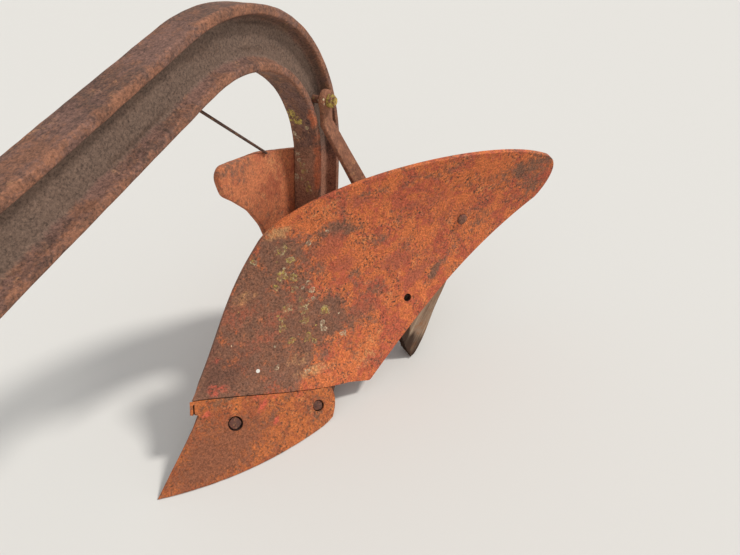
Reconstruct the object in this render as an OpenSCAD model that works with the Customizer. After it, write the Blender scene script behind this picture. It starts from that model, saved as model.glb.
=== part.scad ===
// Walking plough with a steel gooseneck beam that throws its furrow to the left.
// Built about the tip of the share: X is the way of travel, Y the throw side, Z up.

/* [Beam] */
// Width across the beam's flanges
beam_w = 45; // [38:1:52]
// Depth of the beam's section, from flange to flange
beam_d = 75; // [64:1:84]
// Thickness of a flange at its tip
flange_t = 11.5; // [8:0.5:14]
// Thickness of the web between the flanges
web_t = 13; // [10:0.5:16]
// Outer radius of the tight bend over the leg
bend_r = 222; // [200:1:250]
// Outer radius of the wide bend that leads forward
wide_r = 268; // [240:1:330]
// Angle that the wide bend turns through
wide_sweep = 35; // [20:1:45]
// Fall of the front stretch, in degrees
beam_fall = 14; // [8:0.5:18]
// Length of the straight front stretch
front_len = 760; // [600:5:900]
// Lean of the leg, foot forward, in degrees
leg_lean = 11; // [6:0.5:14]
// Length of the straight leg
leg_len = 255; // [230:1:275]
// Height of the tight bend's centre over the ground
arch_z = 371; // [355:1:390]
// Distance of that centre behind the tip of the share
arch_back = 283; // [265:1:300]

/* [Share and moldboard] */
// Thickness of the moldboard
mold_t = 8; // [6:0.5:10]
// Thickness of the share at its joint
share_t = 9; // [7:0.5:11]
// Thickness left at the share's worn cutting edge
edge_t = 2; // [1.5:0.5:4]
// Radius of the breast's profile, seen from the side
breast_r = 620; // [560:5:700]
// Slope of the share at its tip, in degrees
tip_slope = 36; // [33:0.5:40]
// Angle of the cutting edge to the way of travel
edge_angle = 36; // [33:0.5:39]
// The same angle at the top of the moldboard
top_angle = 45; // [41:0.5:48]
// Outward bow of the worn cutting edge
edge_bow = 22; // [14:1:26]
// Length of the cutting edge
edge_len = 274; // [250:1:290]
// Height of the share's joint at the land side
joint_z = 95; // [88:1:104]
// Height of the share's joint at its wing
wing_z = 43; // [36:1:50]

/* [Landside] */
// Thickness of the landside bar and of the side plate behind it
bar_t = 10; // [8:0.5:12]
// Height of the landside bar
bar_h = 88; // [75:1:100]
// Distance of the landside's rear end behind the share's tip
bar_back = 600; // [560:5:660]
// Height of the side plate's front horn
horn_z = 405; // [395:1:412]

/* [Fittings] */
// Width of the flat brace
brace_w = 29; // [24:1:34]
// Thickness of the flat brace
brace_t = 8; // [6:0.5:10]
// Bolt shank diameter
bolt_d = 12; // [10:0.5:13]
// Diameter of the empty bolt hole in the moldboard
empty_d = 13; // [11:0.5:15]
// Width of the wooden handle's foot
wood_w = 84; // [76:1:92]
// Thickness of the wooden handle's foot
wood_d = 30; // [24:1:36]
// Diameter of the thin stay rod
stay_d = 4; // [3:0.5:6]

/* [Hitch] */
// Thickness of each hake cheek
cheek_t = 10; // [8:0.5:12]
// Spacing of the holes down the hake
hole_pitch = 26; // [24:1:30]
// Diameter of the draught pin
pin_d = 16; // [12:0.5:18]
// Drop of the draught hook, from its pin to the middle of its bowl
hook_len = 88; // [78:1:105]

/* [Hidden] */

iron = [0.42, 0.25, 0.2];
rust = [0.66, 0.33, 0.2];
dark = [0.33, 0.29, 0.27];
timber = [0.5, 0.45, 0.36];

// Clearance between pieces that seat on each other without a flat face
seat = 0.3;
// Running clearance round the draught pin
run = 0.1;

// Planes across the plough: landside bar, side plate, then the beam
beam_y = 2 * bar_t + beam_w / 2;
throw_face = beam_y + beam_w / 2;

// Angles of the bends, from the X axis towards Z
front_a = 90 - beam_fall;
join_a = front_a + wide_sweep;
leg_a = 180 + leg_lean;

function polar(r, a) = [r * cos(a), r * sin(a)];
arch_c = [-arch_back, arch_z];
wide_c = arch_c + polar(bend_r - wide_r, join_a);

// Point on the beam's front stretch: l along it from the bend, off down from its top face
function front_at(l, off) = wide_c + polar(wide_r - off, front_a)
    + l * [cos(beam_fall), -sin(beam_fall)];
// Point on the leg: l down it from the bend, off in from its rear face
function leg_at(l, off) = arch_c + polar(bend_r - off, leg_a)
    + l * [sin(leg_lean), -cos(leg_lean)];

// Surface of share and moldboard: level straight lines from the breast's profile,
// each at its own angle to the way of travel
function ease(a) = let (k = min(1, max(0, a))) k * k * (3 - 2 * k);
function breast_x(z) = let (c = cos(tip_slope) - z / breast_r)
    -breast_r * (sqrt(1 - c * c) - sin(tip_slope));
top_line_z = 350;
function line_a(z) = edge_angle + (top_angle - edge_angle) * pow(max(z, 0) / top_line_z, 2);
// Outward bow of the cutting edge, which dies out at the joint and a little past the wing
bow_past = 20;
function bow(t, z) = let (k = min(1, max(0, t / (edge_len + bow_past))))
    edge_bow * max(0, 1 - max(z, 0) / joint_z) * 4 * k * (1 - k);
function surf(t, z) = let (a = line_a(z), b = bow(t, z))
    [breast_x(z) - t * cos(a) + b * sin(a), t * sin(a) + b * cos(a), z];
function unit(v) = v / norm(v);
function normal(t, z) = unit(cross(surf(t + 2, z) - surf(t - 2, z), surf(t, z + 2) - surf(t, z - 2)));

// Turns local axes onto the unit vectors ex, ey and ez
function turn(ex, ey, ez) = [atan2(ey[2], ez[2]), -asin(ex[2]), atan2(ex[1], ex[0])];
module face_out(t, z) {
    n = normal(t, z);
    translate(surf(t, z)) rotate([0, acos(n[2]), atan2(n[1], n[0])]) children();
}

// Bolt places on the surface, as distance along the level line and height
share_bolt_a = [86, 52];
share_bolt_b = [235, 29];
mold_bolt = [430, 233];
mold_hole = [366, 124];

// Quadratic and cubic curves between named corners
function mixed(a, b, k) = a + (b - a) * k;
function cubic(p, k) = let (m = 1 - k)
    m * m * m * p[0] + 3 * m * m * k * p[1] + 3 * m * k * k * p[2] + k * k * k * p[3];

// Moldboard outline in (distance along the level line, height)
low_land = [4, joint_z + 3];
low_wing = [252, wing_z + 1];
low_corner = [337, 25];
tail_low = [583, 234];
tail_top = [556, 319];
shin_top = [68, 281];
lower_curve = [low_corner, [405, 90], [470, 160], tail_low];
shin_curve = [low_land, [26, 168], [22, 215], shin_top];
top_curve = [shin_top, [99, 344], [398, 385], tail_top];
tail_curve = [tail_low, [604, 262], [596, 306], tail_top];

wing_k = 0.3;
corner_k = 0.42;
function lower_side(k) = k < wing_k ? mixed(low_land, low_wing, k / wing_k)
    : k < corner_k ? mixed(low_wing, low_corner, (k - wing_k) / (corner_k - wing_k))
    : cubic(lower_curve, (k - corner_k) / (1 - corner_k));
// Patch filled between its four sides
function patch(u, v) =
    (1 - v) * lower_side(u) + v * cubic(top_curve, u)
    + (1 - u) * cubic(shin_curve, v) + u * cubic(tail_curve, v)
    - (1 - u) * (1 - v) * low_land - u * (1 - v) * tail_low
    - (1 - u) * v * shin_top - u * v * tail_top;

// Solid plate between a front grid of points and a back grid, nu by nv cells
module plate(front, back, nu, nv) {
    m = (nu + 1) * (nv + 1);
    function id(i, j, s) = s * m + j * (nu + 1) + i;
    faces = concat(
        [for (j = [0:nv - 1], i = [0:nu - 1]) [id(i, j, 0), id(i, j + 1, 0), id(i + 1, j + 1, 0)]],
        [for (j = [0:nv - 1], i = [0:nu - 1]) [id(i, j, 0), id(i + 1, j + 1, 0), id(i + 1, j, 0)]],
        [for (j = [0:nv - 1], i = [0:nu - 1]) [id(i, j, 1), id(i + 1, j + 1, 1), id(i, j + 1, 1)]],
        [for (j = [0:nv - 1], i = [0:nu - 1]) [id(i, j, 1), id(i + 1, j, 1), id(i + 1, j + 1, 1)]],
        [for (i = [0:nu - 1]) [id(i, 0, 0), id(i + 1, 0, 0), id(i + 1, 0, 1)]],
        [for (i = [0:nu - 1]) [id(i, 0, 0), id(i + 1, 0, 1), id(i, 0, 1)]],
        [for (i = [0:nu - 1]) [id(i, nv, 0), id(i + 1, nv, 1), id(i + 1, nv, 0)]],
        [for (i = [0:nu - 1]) [id(i, nv, 0), id(i, nv, 1), id(i + 1, nv, 1)]],
        [for (j = [0:nv - 1]) [id(0, j, 0), id(0, j, 1), id(0, j + 1, 1)]],
        [for (j = [0:nv - 1]) [id(0, j, 0), id(0, j + 1, 1), id(0, j + 1, 0)]],
        [for (j = [0:nv - 1]) [id(nu, j, 0), id(nu, j + 1, 1), id(nu, j, 1)]],
        [for (j = [0:nv - 1]) [id(nu, j, 0), id(nu, j + 1, 0), id(nu, j + 1, 1)]]);
    polyhedron(points = concat(front, back), faces = faces, convexity = 6);
}
function offset_pt(q, d) = surf(q[0], q[1]) - d * normal(q[0], q[1]);
// Keeps a point of the back on the throw side of the landside's face
function on_land_side(p) = [p[0], max(p[1], 0), max(p[2], 0)];

// Grid of the moldboard's face and of its back
mold_nu = 28;
mold_nv = 12;
mold_grid = [for (j = [0:mold_nv], i = [0:mold_nu]) patch(i / mold_nu, j / mold_nv)];
mold_back = [for (q = mold_grid) on_land_side(offset_pt(q, mold_t))];

// Reach of the hake's cheeks past the beam's end, and half their height
hake_gap = 52;
cheek_reach = 36;
cheek_half = 70;

// Stance: the part's origin is midway along and across it, on the ground
front_x = front_at(front_len + hake_gap, beam_d / 2)[0]
    + cheek_reach * cos(beam_fall) + cheek_half * sin(beam_fall);
rear_x = min([for (p = mold_back) p[0]]);
left_y = max([for (q = mold_grid) surf(q[0], q[1])[1]]);
stance = [-(front_x + rear_x) / 2, -left_y / 2, 0];

// Shell that follows the working surface, between two depths behind it
module saddle(d0, d1, t0, t1, z0, z1, nu = 14, nv = 10) {
    q = [for (j = [0:nv], i = [0:nu]) [mixed(t0, t1, i / nu), mixed(z0, z1, j / nv)]];
    plate([for (p = q) offset_pt(p, min(d0, d1))], [for (p = q) offset_pt(p, max(d0, d1))], nu, nv);
}

// Hexagon nut or head, across its flats
module hex(af, h) {
    cylinder(d = af / cos(30), h = h, $fn = 6);
}

// A quarter of the rolled section: depth in from the flange's face, distance from the web's middle
toe = 2;
taper = 3.5;
root = 8;
section_quarter = [[0, beam_w / 2 - toe], [toe, beam_w / 2], [flange_t - toe, beam_w / 2],
                   [flange_t, beam_w / 2 - toe], [flange_t + taper, web_t / 2 + taper],
                   [flange_t + root, web_t / 2]];
// Whole section, as depth down from the top face and place across
beam_section = concat(
    [for (q = section_quarter) q],
    [for (i = [5:-1:0]) [beam_d - section_quarter[i][0], section_quarter[i][1]]],
    [for (q = section_quarter) [beam_d - q[0], -q[1]]],
    [for (i = [5:-1:0]) [section_quarter[i][0], -section_quarter[i][1]]]);
// Stations of the beam from its front end: point on the top face and the angle square to it
bend_step = 2.5;
function arc_stations(c, r, a0, a1) = let (n = ceil((a1 - a0) / bend_step))
    [for (i = [0:n]) let (a = mixed(a0, a1, i / n)) [c + polar(r, a), a]];
tight_stations = arc_stations(arch_c, bend_r, join_a, leg_a);
beam_stations = concat(
    [[front_at(front_len, 0), front_a]],
    arc_stations(wide_c, wide_r, front_a, join_a),
    [for (i = [1:len(tight_stations) - 1]) tight_stations[i]],
    [[leg_at(leg_len, 0), leg_a]]);

module beam() color(iron) difference() {
    sweep([for (s = beam_stations, q = beam_section) let (xz = s[0] - polar(q[0], s[1]))
               [xz[0], beam_y + q[1], xz[1]]],
          len(beam_section));
    for (p = concat([brace_pt], beam_bolt_pts, hake_bolt_pts)) across(p) bolt_hole();
}
// Solid through rings of n points each
module sweep(points, n) {
    rings = len(points) / n;
    polyhedron(points = points, convexity = 8, faces = concat(
        [[for (j = [0:n - 1]) j]],
        [for (i = [0:rings - 2], j = [0:n - 1])
            [i * n + j, (i + 1) * n + j, (i + 1) * n + (j + 1) % n]],
        [for (i = [0:rings - 2], j = [0:n - 1])
            [i * n + j, (i + 1) * n + (j + 1) % n, i * n + (j + 1) % n]],
        [[for (j = [n - 1:-1:0]) (rings - 1) * n + j]]));
}

// Underside of the landside bar over the ground
bar_z = 5;
// Bolt places in the beam's side plane: the brace's in the tight bend, three down the leg that
// keep clear of the landside bar, and the hake's pair from the beam's end
brace_a = 160.5;
brace_pt = arch_c + polar(bend_r - beam_d / 2, brace_a);
leg_bolt_rise = 30;
leg_bolt_step = 58;
leg_bolt_l = (arch_z + (bend_r - beam_d / 2) * sin(leg_a) - bar_z - bar_h - leg_bolt_rise)
    / cos(leg_lean);
beam_bolt_pts = [for (i = [2:-1:0]) leg_at(leg_bolt_l - i * leg_bolt_step, beam_d / 2)];
hake_bolt_end = 30;
hake_bolt_step = 65;
hake_bolt_pts = [for (i = [1:-1:0])
    front_at(front_len - hake_bolt_end - i * hake_bolt_step, beam_d / 2)];
// Places children at a point of the beam's side plane, local Z across the plough
module across(p) {
    translate([p[0], beam_y, p[1]]) rotate([90, 0, 0]) children();
}

// Side plate that carries the body on the beam's leg; its horn stands forward under the arch
plate_foot = 14;
horn_r = 15;
horn_c = [-arch_back + 21, horn_z - horn_r];
plate_rim = 12;
plate_rear = leg_at(0, 0)[0] - plate_rim;
// Front edge of the side plate from its foot to the horn, then its top edge back from the horn
plate_front = [[-190, 14], [-178, 60], [-236, 130], [-300, 196], [-333, 240], [-322, 278],
               [-300, 316], [-272, 346], [-252, 364]];
plate_top = [[-345, horn_z - 16], [-429, horn_z - 46]];
plate_fall = 76;
module side_plate() color(rust) difference() {
    translate([0, 2 * bar_t, 0]) rotate([90, 0, 0]) linear_extrude(bar_t) union() {
        polygon(concat([horn_c + polar(horn_r, 101)], plate_top,
                       [[plate_rear, horn_z - plate_fall], [plate_rear + plate_rim, plate_foot]],
                       plate_front, [horn_c + polar(horn_r, -11)]));
        translate(horn_c) circle(r = horn_r, $fn = 48);
    }
    for (p = concat(beam_bolt_pts, frog_bolt_pts, bar_bolt_pts)) across(p) bolt_hole();
}
module bolt_hole() {
    cylinder(d = bolt_d + 2 * seat, h = 5 * beam_w, center = true, $fn = 32);
}

frog_bolt_pts = [[-262, 128], [-320, 140]];
bar_bolt_pts = [[-240, 50], [-440, 50]];

// Long bar that bears on the furrow wall, its front end sloped behind the share
bar_nose = 42;
bar_slope = 1.27;
bar_corner = 30;
sink_d = 24;
sink_h = 7;
module landside() color(dark) difference() {
    translate([0, bar_t, 0]) rotate([90, 0, 0]) linear_extrude(bar_t)
        polygon([[-bar_nose, bar_z], [-bar_nose - bar_slope * bar_h, bar_z + bar_h],
                 [-bar_back + bar_corner, bar_z + bar_h],
                 [-bar_back, bar_z + bar_h - bar_corner], [-bar_back, bar_z]]);
    for (p = concat(bar_bolt_pts, [heel_bolt])) {
        across(p) bolt_hole();
        translate([p[0], 0, p[1]]) rotate([-90, 0, 0]) translate([0, 0, -seat])
            cylinder(d1 = sink_d + 2 * seat, d2 = bolt_d, h = sink_h + seat, $fn = 40);
    }
}

// Wear shoe under the landside's rear end
heel_back = 4;
heel_gap = 2;
heel_h = 56;
heel_len = bar_back + heel_back + plate_rear - heel_gap;
heel_bolt = [-bar_back - heel_back + heel_len / 2, bar_z + 32];
module heel() color(dark) difference() {
    translate([-bar_back - heel_back, 0, 0]) union() {
        translate([0, bar_t + seat, 0]) cube([heel_len, bar_t, heel_h]);
        cube([heel_len, bar_t + 1, bar_z - seat]);
    }
    across(heel_bolt) bolt_hole();
}

// Frog: a cast saddle plate that follows the back of share and moldboard, with a flange
// against the side plate and a rib out to its wing
frog_t = 10;
frog_side = 8;
frog_top = 206;
frog_face = [[2 * bar_t, 12], [150, 12], [150, 62], [100, 84], [72, frog_top], [2 * bar_t, frog_top]];
frog_flange = [[-60, plate_foot], [-345, plate_foot], [-345, 176], [-190, frog_top - 4]];
frog_rib = [[-322, 26], [-308, 26], [-216, 98], [-226, 106]];
frog_rib_h = 46;
// Reach of the face plate rearward, and of the space in front of it that trims flange and rib
frog_rear = 420;
trim_out = 150;
module frog() color(dark) difference() {
    union() {
        intersection() {
            saddle(share_t + 2 * seat, share_t + 2 * seat + frog_t, 20, 280, 8, frog_top + 10);
            rotate([90, 0, -90]) linear_extrude(frog_rear) mirror([1, 0]) polygon(frog_face);
        }
        difference() {
            union() {
                translate([0, 2 * bar_t + frog_side, 0]) rotate([90, 0, 0])
                    linear_extrude(frog_side) polygon(frog_flange);
                translate([0, 0, plate_foot]) linear_extrude(frog_rib_h) polygon(frog_rib);
            }
            saddle(share_t + seat + frog_t / 2, -trim_out, -20, frog_rear, -30, frog_top + 94);
        }
    }
    for (p = concat(frog_bolt_pts, [bar_bolt_pts[0]])) across(p) bolt_hole();
    for (b = [share_bolt_a, share_bolt_b]) face_out(b[0], b[1]) bolt_hole();
}

// Share: its back face meets the cutting edge as a bevel
share_nu = 18;
share_end = edge_len + 3;
// Land side of the share: worn back up from its tip, then a lip left at the joint
share_side = [[0, 1.5], [2.6, 14], [5.6, 27], [13.5, 50], [22.8, 77], [7.5, 80.4], [1, joint_z]];
share_nv = len(share_side) - 1;
share_joint = low_wing - [1, 1.6];
share_bulge = 22;
// Share of the height at row j, and the wing's end there
function share_v(j) = (share_side[j][1] - share_side[0][1])
    / (share_side[share_nv][1] - share_side[0][1]);
function share_wing(v) = mixed([share_end, 4.5], share_joint, v) + [share_bulge * v * (1 - v), 0];
// Lifts the lower corner of the wing where the edge has worn round
function share_lift(u, v) = [0, -3 * (1 - v) * (1 - pow(max(0, u - 0.94) / 0.06, 2))];
function share_q(u, j) = let (v = share_v(j)) mixed(share_side[j], share_wing(v), u)
    + (u == 0 ? [0, 0] : share_lift(u, v) * u);
module share() color(rust) difference() {
    q = [for (j = [0:share_nv], i = [0:share_nu]) share_q(i / share_nu, j)];
    th = [for (j = [0:share_nv], i = [0:share_nu]) mixed(edge_t, share_t, min(1, 2.5 * share_v(j)))];
    plate([for (p = q) surf(p[0], p[1])],
          [for (k = [0:len(q) - 1]) on_land_side(offset_pt(q[k], th[k]))], share_nu, share_nv);
    for (b = [share_bolt_a, share_bolt_b]) face_out(b[0], b[1]) {
        bolt_hole();
        translate([0, 0, -5]) cylinder(d1 = bolt_d + 1, d2 = 25, h = 6, $fn = 40);
    }
}

module moldboard() color(rust) difference() {
    plate([for (q = mold_grid) surf(q[0], q[1])], mold_back, mold_nu, mold_nv);
    face_out(mold_hole[0], mold_hole[1]) {
        cylinder(d = empty_d, h = 60, center = true, $fn = 40);
        translate([0, 0, -2]) cylinder(d1 = empty_d, d2 = empty_d + 6, h = 3, $fn = 40);
    }
    face_out(mold_bolt[0], mold_bolt[1]) bolt_hole();
}

// Countersunk plough bolt, its head flush in the face, its nut behind
share_grip = share_t + frog_t + 5 * seat;
module plough_bolt(grip, head_d) {
    translate([0, 0, -4.6]) cylinder(d1 = bolt_d, d2 = head_d, h = 4.4, $fn = 40);
    translate([0, 0, -grip - 9]) cylinder(d = bolt_d, h = grip + 6, $fn = 32);
    translate([0, 0, -grip - 8]) hex(17, 8);
}
module share_bolt_front() color(dark)
    face_out(share_bolt_a[0], share_bolt_a[1]) plough_bolt(share_grip, 22);
module share_bolt_wing() color(dark)
    face_out(share_bolt_b[0], share_bolt_b[1]) plough_bolt(share_grip, 22);

// Cup-head bolt that holds the handle behind the moldboard
cup_r = 11;
cup_h = 5;
wood_back = mold_t + 1 + wood_d;
module moldboard_bolt() color(dark) face_out(mold_bolt[0], mold_bolt[1]) {
    translate([0, 0, 2 * seat]) intersection() {
        translate([0, 0, cup_h - cup_r]) sphere(r = cup_r, $fn = 48);
        cylinder(r = cup_r, h = cup_r, $fn = 48);
    }
    translate([0, 0, -wood_back - 12]) cylinder(d = bolt_d, h = wood_back + 13, $fn = 32);
    translate([0, 0, -wood_back - 9 - seat]) hex(19, 9);
}

// Weathered foot of the throw-side handle, behind the moldboard: it turns a little from the
// line of the two bolt holes, and its end has rotted off over the ground
hole_at = surf(mold_hole[0], mold_hole[1]);
bolt_at = surf(mold_bolt[0], mold_bolt[1]);
wood_x = unit(bolt_at - hole_at);
hole_n = normal(mold_hole[0], mold_hole[1]);
wood_n = unit(hole_n - (hole_n * wood_x) * wood_x);
wood_turn = 10;
stub_up = 70;
// Reach of the foot down from its bolt to its lowest corner, and the angle of the broken end
stub_down = 265.5;
stub_break = 44;
rot_z = 4;
// Size of the blocks that cut the end away
spare = 400;
module handle_stub() color(timber) difference() {
    wood_frame(bolt_at) rotate([0, 0, wood_turn]) translate([0, -wood_w / 2, -wood_back])
        difference() {
            translate([-stub_down - wood_w, 0, 0]) cube([stub_down + wood_w + stub_up, wood_w, wood_d]);
            translate([-stub_down, 0, 0]) rotate([0, 0, stub_break])
                translate([-spare / 2, 0, -spare / 2]) cube(spare);
        }
    for (b = [mold_bolt, mold_hole]) face_out(b[0], b[1]) bolt_hole();
    face_out(mold_bolt[0], mold_bolt[1]) translate([0, 0, -wood_back - 20])
        cylinder(d = 25, h = 20, $fn = 40);
    saddle(mold_t + 2 * seat, -60, 250, 580, 10, 345, 14, 24);
    translate([hole_at[0] - spare / 2, hole_at[1] - spare / 2, rot_z - spare]) cube(spare);
}
// Local X up the line of the bolts, local Z out of the moldboard
module wood_frame(p) {
    translate(p) rotate(turn(wood_x, cross(wood_n, wood_x), wood_n)) children();
}

// Flat brace from the beam to the back of the handle; its foot lies on the handle, down to
// the bolt hole that is empty
brace_drop = 34;
brace_lean = 4;
brace_foot = 38;
brace_eye = 1;
brace_mid = (brace_t + brace_eye) / 2;
brace_path = let (top = [brace_pt[0], throw_face + seat + brace_mid, brace_pt[1]],
                  low = hole_at - wood_n * (wood_back + seat + brace_mid))
    [top, top + brace_drop * [sin(brace_lean), 0, -cos(brace_lean)], low + brace_foot * wood_x, low];
brace_dir = [for (i = [0:2]) unit(brace_path[i + 1] - brace_path[i])];
// Station of the brace: its middle, the way of its thickness and the way of its width
function brace_station(p, t, dir) = let (s = unit(t - (t * dir) * dir)) [p, s, cross(s, dir)];
// Way of the brace at share k of its twisted middle stretch
function brace_way(k) = k == 0 ? unit(brace_dir[0] + brace_dir[1])
    : k == 1 ? unit(brace_dir[1] + brace_dir[2]) : brace_dir[1];
brace_twist = 10;
brace_stations = concat(
    [brace_station(brace_path[0], [0, 1, 0], brace_dir[0])],
    [for (i = [0:brace_twist]) let (k = i / brace_twist)
        brace_station(mixed(brace_path[1], brace_path[2], k), mixed([0, 1, 0], -wood_n, ease(k)),
                      brace_way(k))],
    [brace_station(brace_path[3], -wood_n, brace_dir[2])]);
module brace() color(iron) difference() {
    union() {
        sweep([for (s = brace_stations, c = [[1, 1], [-1, 1], [-1, -1], [1, -1]])
            s[0] + c[0] * s[2] * brace_w / 2 + c[1] * s[1] * brace_t / 2], 4);
        translate(brace_path[0]) rotate([90, 0, 0]) brace_end();
        wood_frame(brace_path[3]) brace_end();
    }
    across(brace_pt) bolt_hole();
    face_out(mold_hole[0], mold_hole[1]) bolt_hole();
}

module brace_end() {
    cylinder(d = brace_w + 4, h = 2 * brace_mid, center = true, $fn = 48);
}

// Through bolt across the plough from y0 to y1, its end 3 past the nut
nut_af = 19;
nut_h = 9;
module cross_bolt(p, y0, y1, head) {
    translate([p[0], y0, p[1]]) rotate([-90, 0, 0]) {
        cylinder(d = bolt_d, h = y1 - y0, $fn = 32);
        hex(nut_af, head);
        translate([0, 0, y1 - y0 - head - 3]) hex(nut_af, head);
    }
}
module brace_bolt() color(dark)
    cross_bolt(brace_pt, beam_y - web_t / 2 - nut_h - seat,
               throw_face + 2 * brace_mid + 2 * seat + nut_h + 3, nut_h);

// Packing that fills the web's recess on the land side, where the side plate is bolted
module beam_packing() color(dark) for (p = beam_bolt_pts) across(p) difference() {
    translate([0, 0, web_t / 2 + seat]) cylinder(d = 34, h = (beam_w - web_t) / 2 - 2 * seat, $fn = 48);
    bolt_hole();
}
module beam_bolts() color(dark) for (p = beam_bolt_pts)
    cross_bolt(p, bar_t - nut_h - seat, beam_y + web_t / 2 + nut_h + 3 + seat, nut_h);
module frog_bolts() color(dark) for (p = frog_bolt_pts)
    cross_bolt(p, bar_t - nut_h - seat, 2 * bar_t + frog_side + nut_h + 3 + seat, nut_h);
// Countersunk bolts of the landside bar: place and the Y of the face behind the nut
bar_bolts = [[bar_bolt_pts[0], 2 * bar_t + frog_side], [bar_bolt_pts[1], 2 * bar_t],
             [heel_bolt, 2 * bar_t + seat]];
module landside_bolts() color(dark) for (b = bar_bolts)
    translate([b[0][0], seat, b[0][1]]) rotate([-90, 0, 0]) {
        cylinder(d1 = 22.4, d2 = bolt_d, h = 6.4, $fn = 40);
        cylinder(d = bolt_d, h = b[1] + nut_h + 2, $fn = 32);
        translate([0, 0, b[1]]) hex(nut_af, nut_h);
    }

// Stay from the side plate's rear to the back of the moldboard
stay_foot = [505, 205];
stay_root = [-478, 60];
stay_pad = 10;
stay_pad_d = 42;
brace_rod_d = 16;
module moldboard_stay() color(iron) {
    n = normal(stay_foot[0], stay_foot[1]);
    b = surf(stay_foot[0], stay_foot[1]) - n * (mold_t + stay_pad);
    a = [stay_root[0], 2 * bar_t + stay_pad / 2, stay_root[1]];
    translate([a[0], 2 * bar_t + stay_pad + 2 * seat, a[2]]) rotate([90, 0, 0]) stay_disc();
    face_out(stay_foot[0], stay_foot[1]) translate([0, 0, -mold_t - stay_pad - 2 * seat]) stay_disc();
    d = b - a;
    translate(a) rotate([0, acos(d[2] / norm(d)), atan2(d[1], d[0])])
        cylinder(d = brace_rod_d, h = norm(d), $fn = 32);
}
module stay_disc() {
    cylinder(d = stay_pad_d, h = stay_pad, $fn = 40);
}

// Thin rod from the beam's underside to the side plate's top edge
module stay_rod() color(dark) {
    p = front_at(6, beam_d + seat);
    q = [-355, horn_z - 16 + 1];
    d = p - q;
    translate([q[0], 2 * bar_t + stay_d / 2 + seat, q[1] - 6])
        rotate([0, atan2(d[0], d[1] + 6 - stay_d), 0])
            cylinder(d = stay_d, h = norm([d[0], d[1] + 6 - stay_d]), $fn = 24);
}

// Hake: two cheeks bolted to the web, with a row of holes for the draught pin
hake_c = front_at(front_len + hake_gap, beam_d / 2);
cheek_back = 103;
// Where a cheek starts to widen, and where it has its full height, from the hake's middle
cheek_neck = -28;
cheek_full = 16;
// Line of the pin's holes in front of the hake's middle
hole_line = 18;
module cheek_outline() {
    a = beam_d - 2 * (flange_t + root) - 1;
    union() {
        translate([-hake_gap - cheek_back, -a / 2]) square([cheek_back + hake_gap + cheek_neck + 3, a]);
        polygon([[cheek_neck, -a / 2], [cheek_full, -cheek_half], [cheek_reach, -cheek_half],
                 [cheek_reach, cheek_half], [cheek_full, cheek_half], [cheek_neck, a / 2]]);
    }
}
module cheek(y0) color(iron) difference() {
    translate([hake_c[0], y0 + cheek_t, hake_c[1]]) rotate([90, beam_fall, 0])
        linear_extrude(cheek_t) cheek_outline();
    for (p = hake_bolt_pts) across(p) bolt_hole();
    for (i = [-2:2]) across(hake_pt(i))
        cylinder(d = pin_d + 2 * run, h = 3 * beam_w, center = true, $fn = 40);
}
// The draught hook hangs in the lowest hole, which sets the shallowest furrow
hook_hole = -2;
function hake_pt(i) = hake_c + hole_line * [cos(beam_fall), -sin(beam_fall)]
    + i * hole_pitch * [sin(beam_fall), cos(beam_fall)];
module hake_cheek_left() cheek(beam_y + web_t / 2 + seat);
module hake_cheek_right() cheek(beam_y - web_t / 2 - cheek_t - seat);
module hake_bolts() color(dark) for (p = hake_bolt_pts)
    cross_bolt(p, beam_y - web_t / 2 - cheek_t - nut_h - 2 * seat,
               beam_y + web_t / 2 + cheek_t + nut_h + 3 + 2 * seat, nut_h);

pin_half = web_t / 2 + cheek_t + seat;
module draught_pin() color(dark) across(hake_pt(hook_hole)) {
    translate([0, 0, -pin_half - 8]) cylinder(d = pin_d, h = 2 * pin_half + 16, $fn = 40);
    translate([0, 0, pin_half + 1]) cylinder(d = 26, h = 7, $fn = 40);
    translate([0, 0, -pin_half - 5]) cylinder(d = 24, h = 4, $fn = 40);
}

// Draught hook, hanging from its pin between the cheeks: a flat eye, and an oval bar drawn out
// of it that bends back and round into a bowl open to the front
hook_t = web_t - 3;
hook_eye = hole_pitch - pin_d / 2 - 1.5;
bowl_c = [2, -hook_len];
bowl_r = 16;
bowl_a = [145, 355];
bowl_steps = 21;
bar_half = 6.5;
tip_half = 4.2;
// Places down the shank, from inside the eye to where the bowl's curve begins
shank_pts = [[0, bar_half - 2 - hook_eye], [0, 50 - hook_len],
             [-2.5, 38 - hook_len], [-8, 26 - hook_len]];
// Half width and half thickness of the bar at share k of the bowl's curve
function bowl_half(k) = mixed(bar_half, tip_half, ease((k - 0.55) / 0.45));
function bowl_thick(k) = bowl_half(k) * (hook_t / 2 - 0.1) / bar_half;
hook_pts = concat(shank_pts, [for (i = [0:bowl_steps]) let (k = i / bowl_steps)
    bowl_c + polar(bowl_r + bowl_half(k), mixed(bowl_a[0], bowl_a[1], k))]);
hook_last = len(hook_pts) - 1;
ring_n = 12;
function hook_ring(i) = let (d = unit(hook_pts[min(i + 1, hook_last)] - hook_pts[max(i - 1, 0)]),
                             k = max(0, i - len(shank_pts)) / bowl_steps)
    [for (j = [0:ring_n - 1]) let (w = bowl_half(k) * cos(360 * j / ring_n))
        [hook_pts[i][0] - w * d[1], hook_pts[i][1] + w * d[0], bowl_thick(k) * sin(360 * j / ring_n)]];
module draught_hook() color(iron) across(hake_pt(hook_hole)) difference() {
    union() {
        cylinder(r = hook_eye, h = hook_t, center = true, $fn = 48);
        sweep([for (i = [0:hook_last], p = hook_ring(i)) p], ring_n);
    }
    cylinder(d = pin_d + 2 * run, h = 2 * hook_t, center = true, $fn = 40);
}

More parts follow.
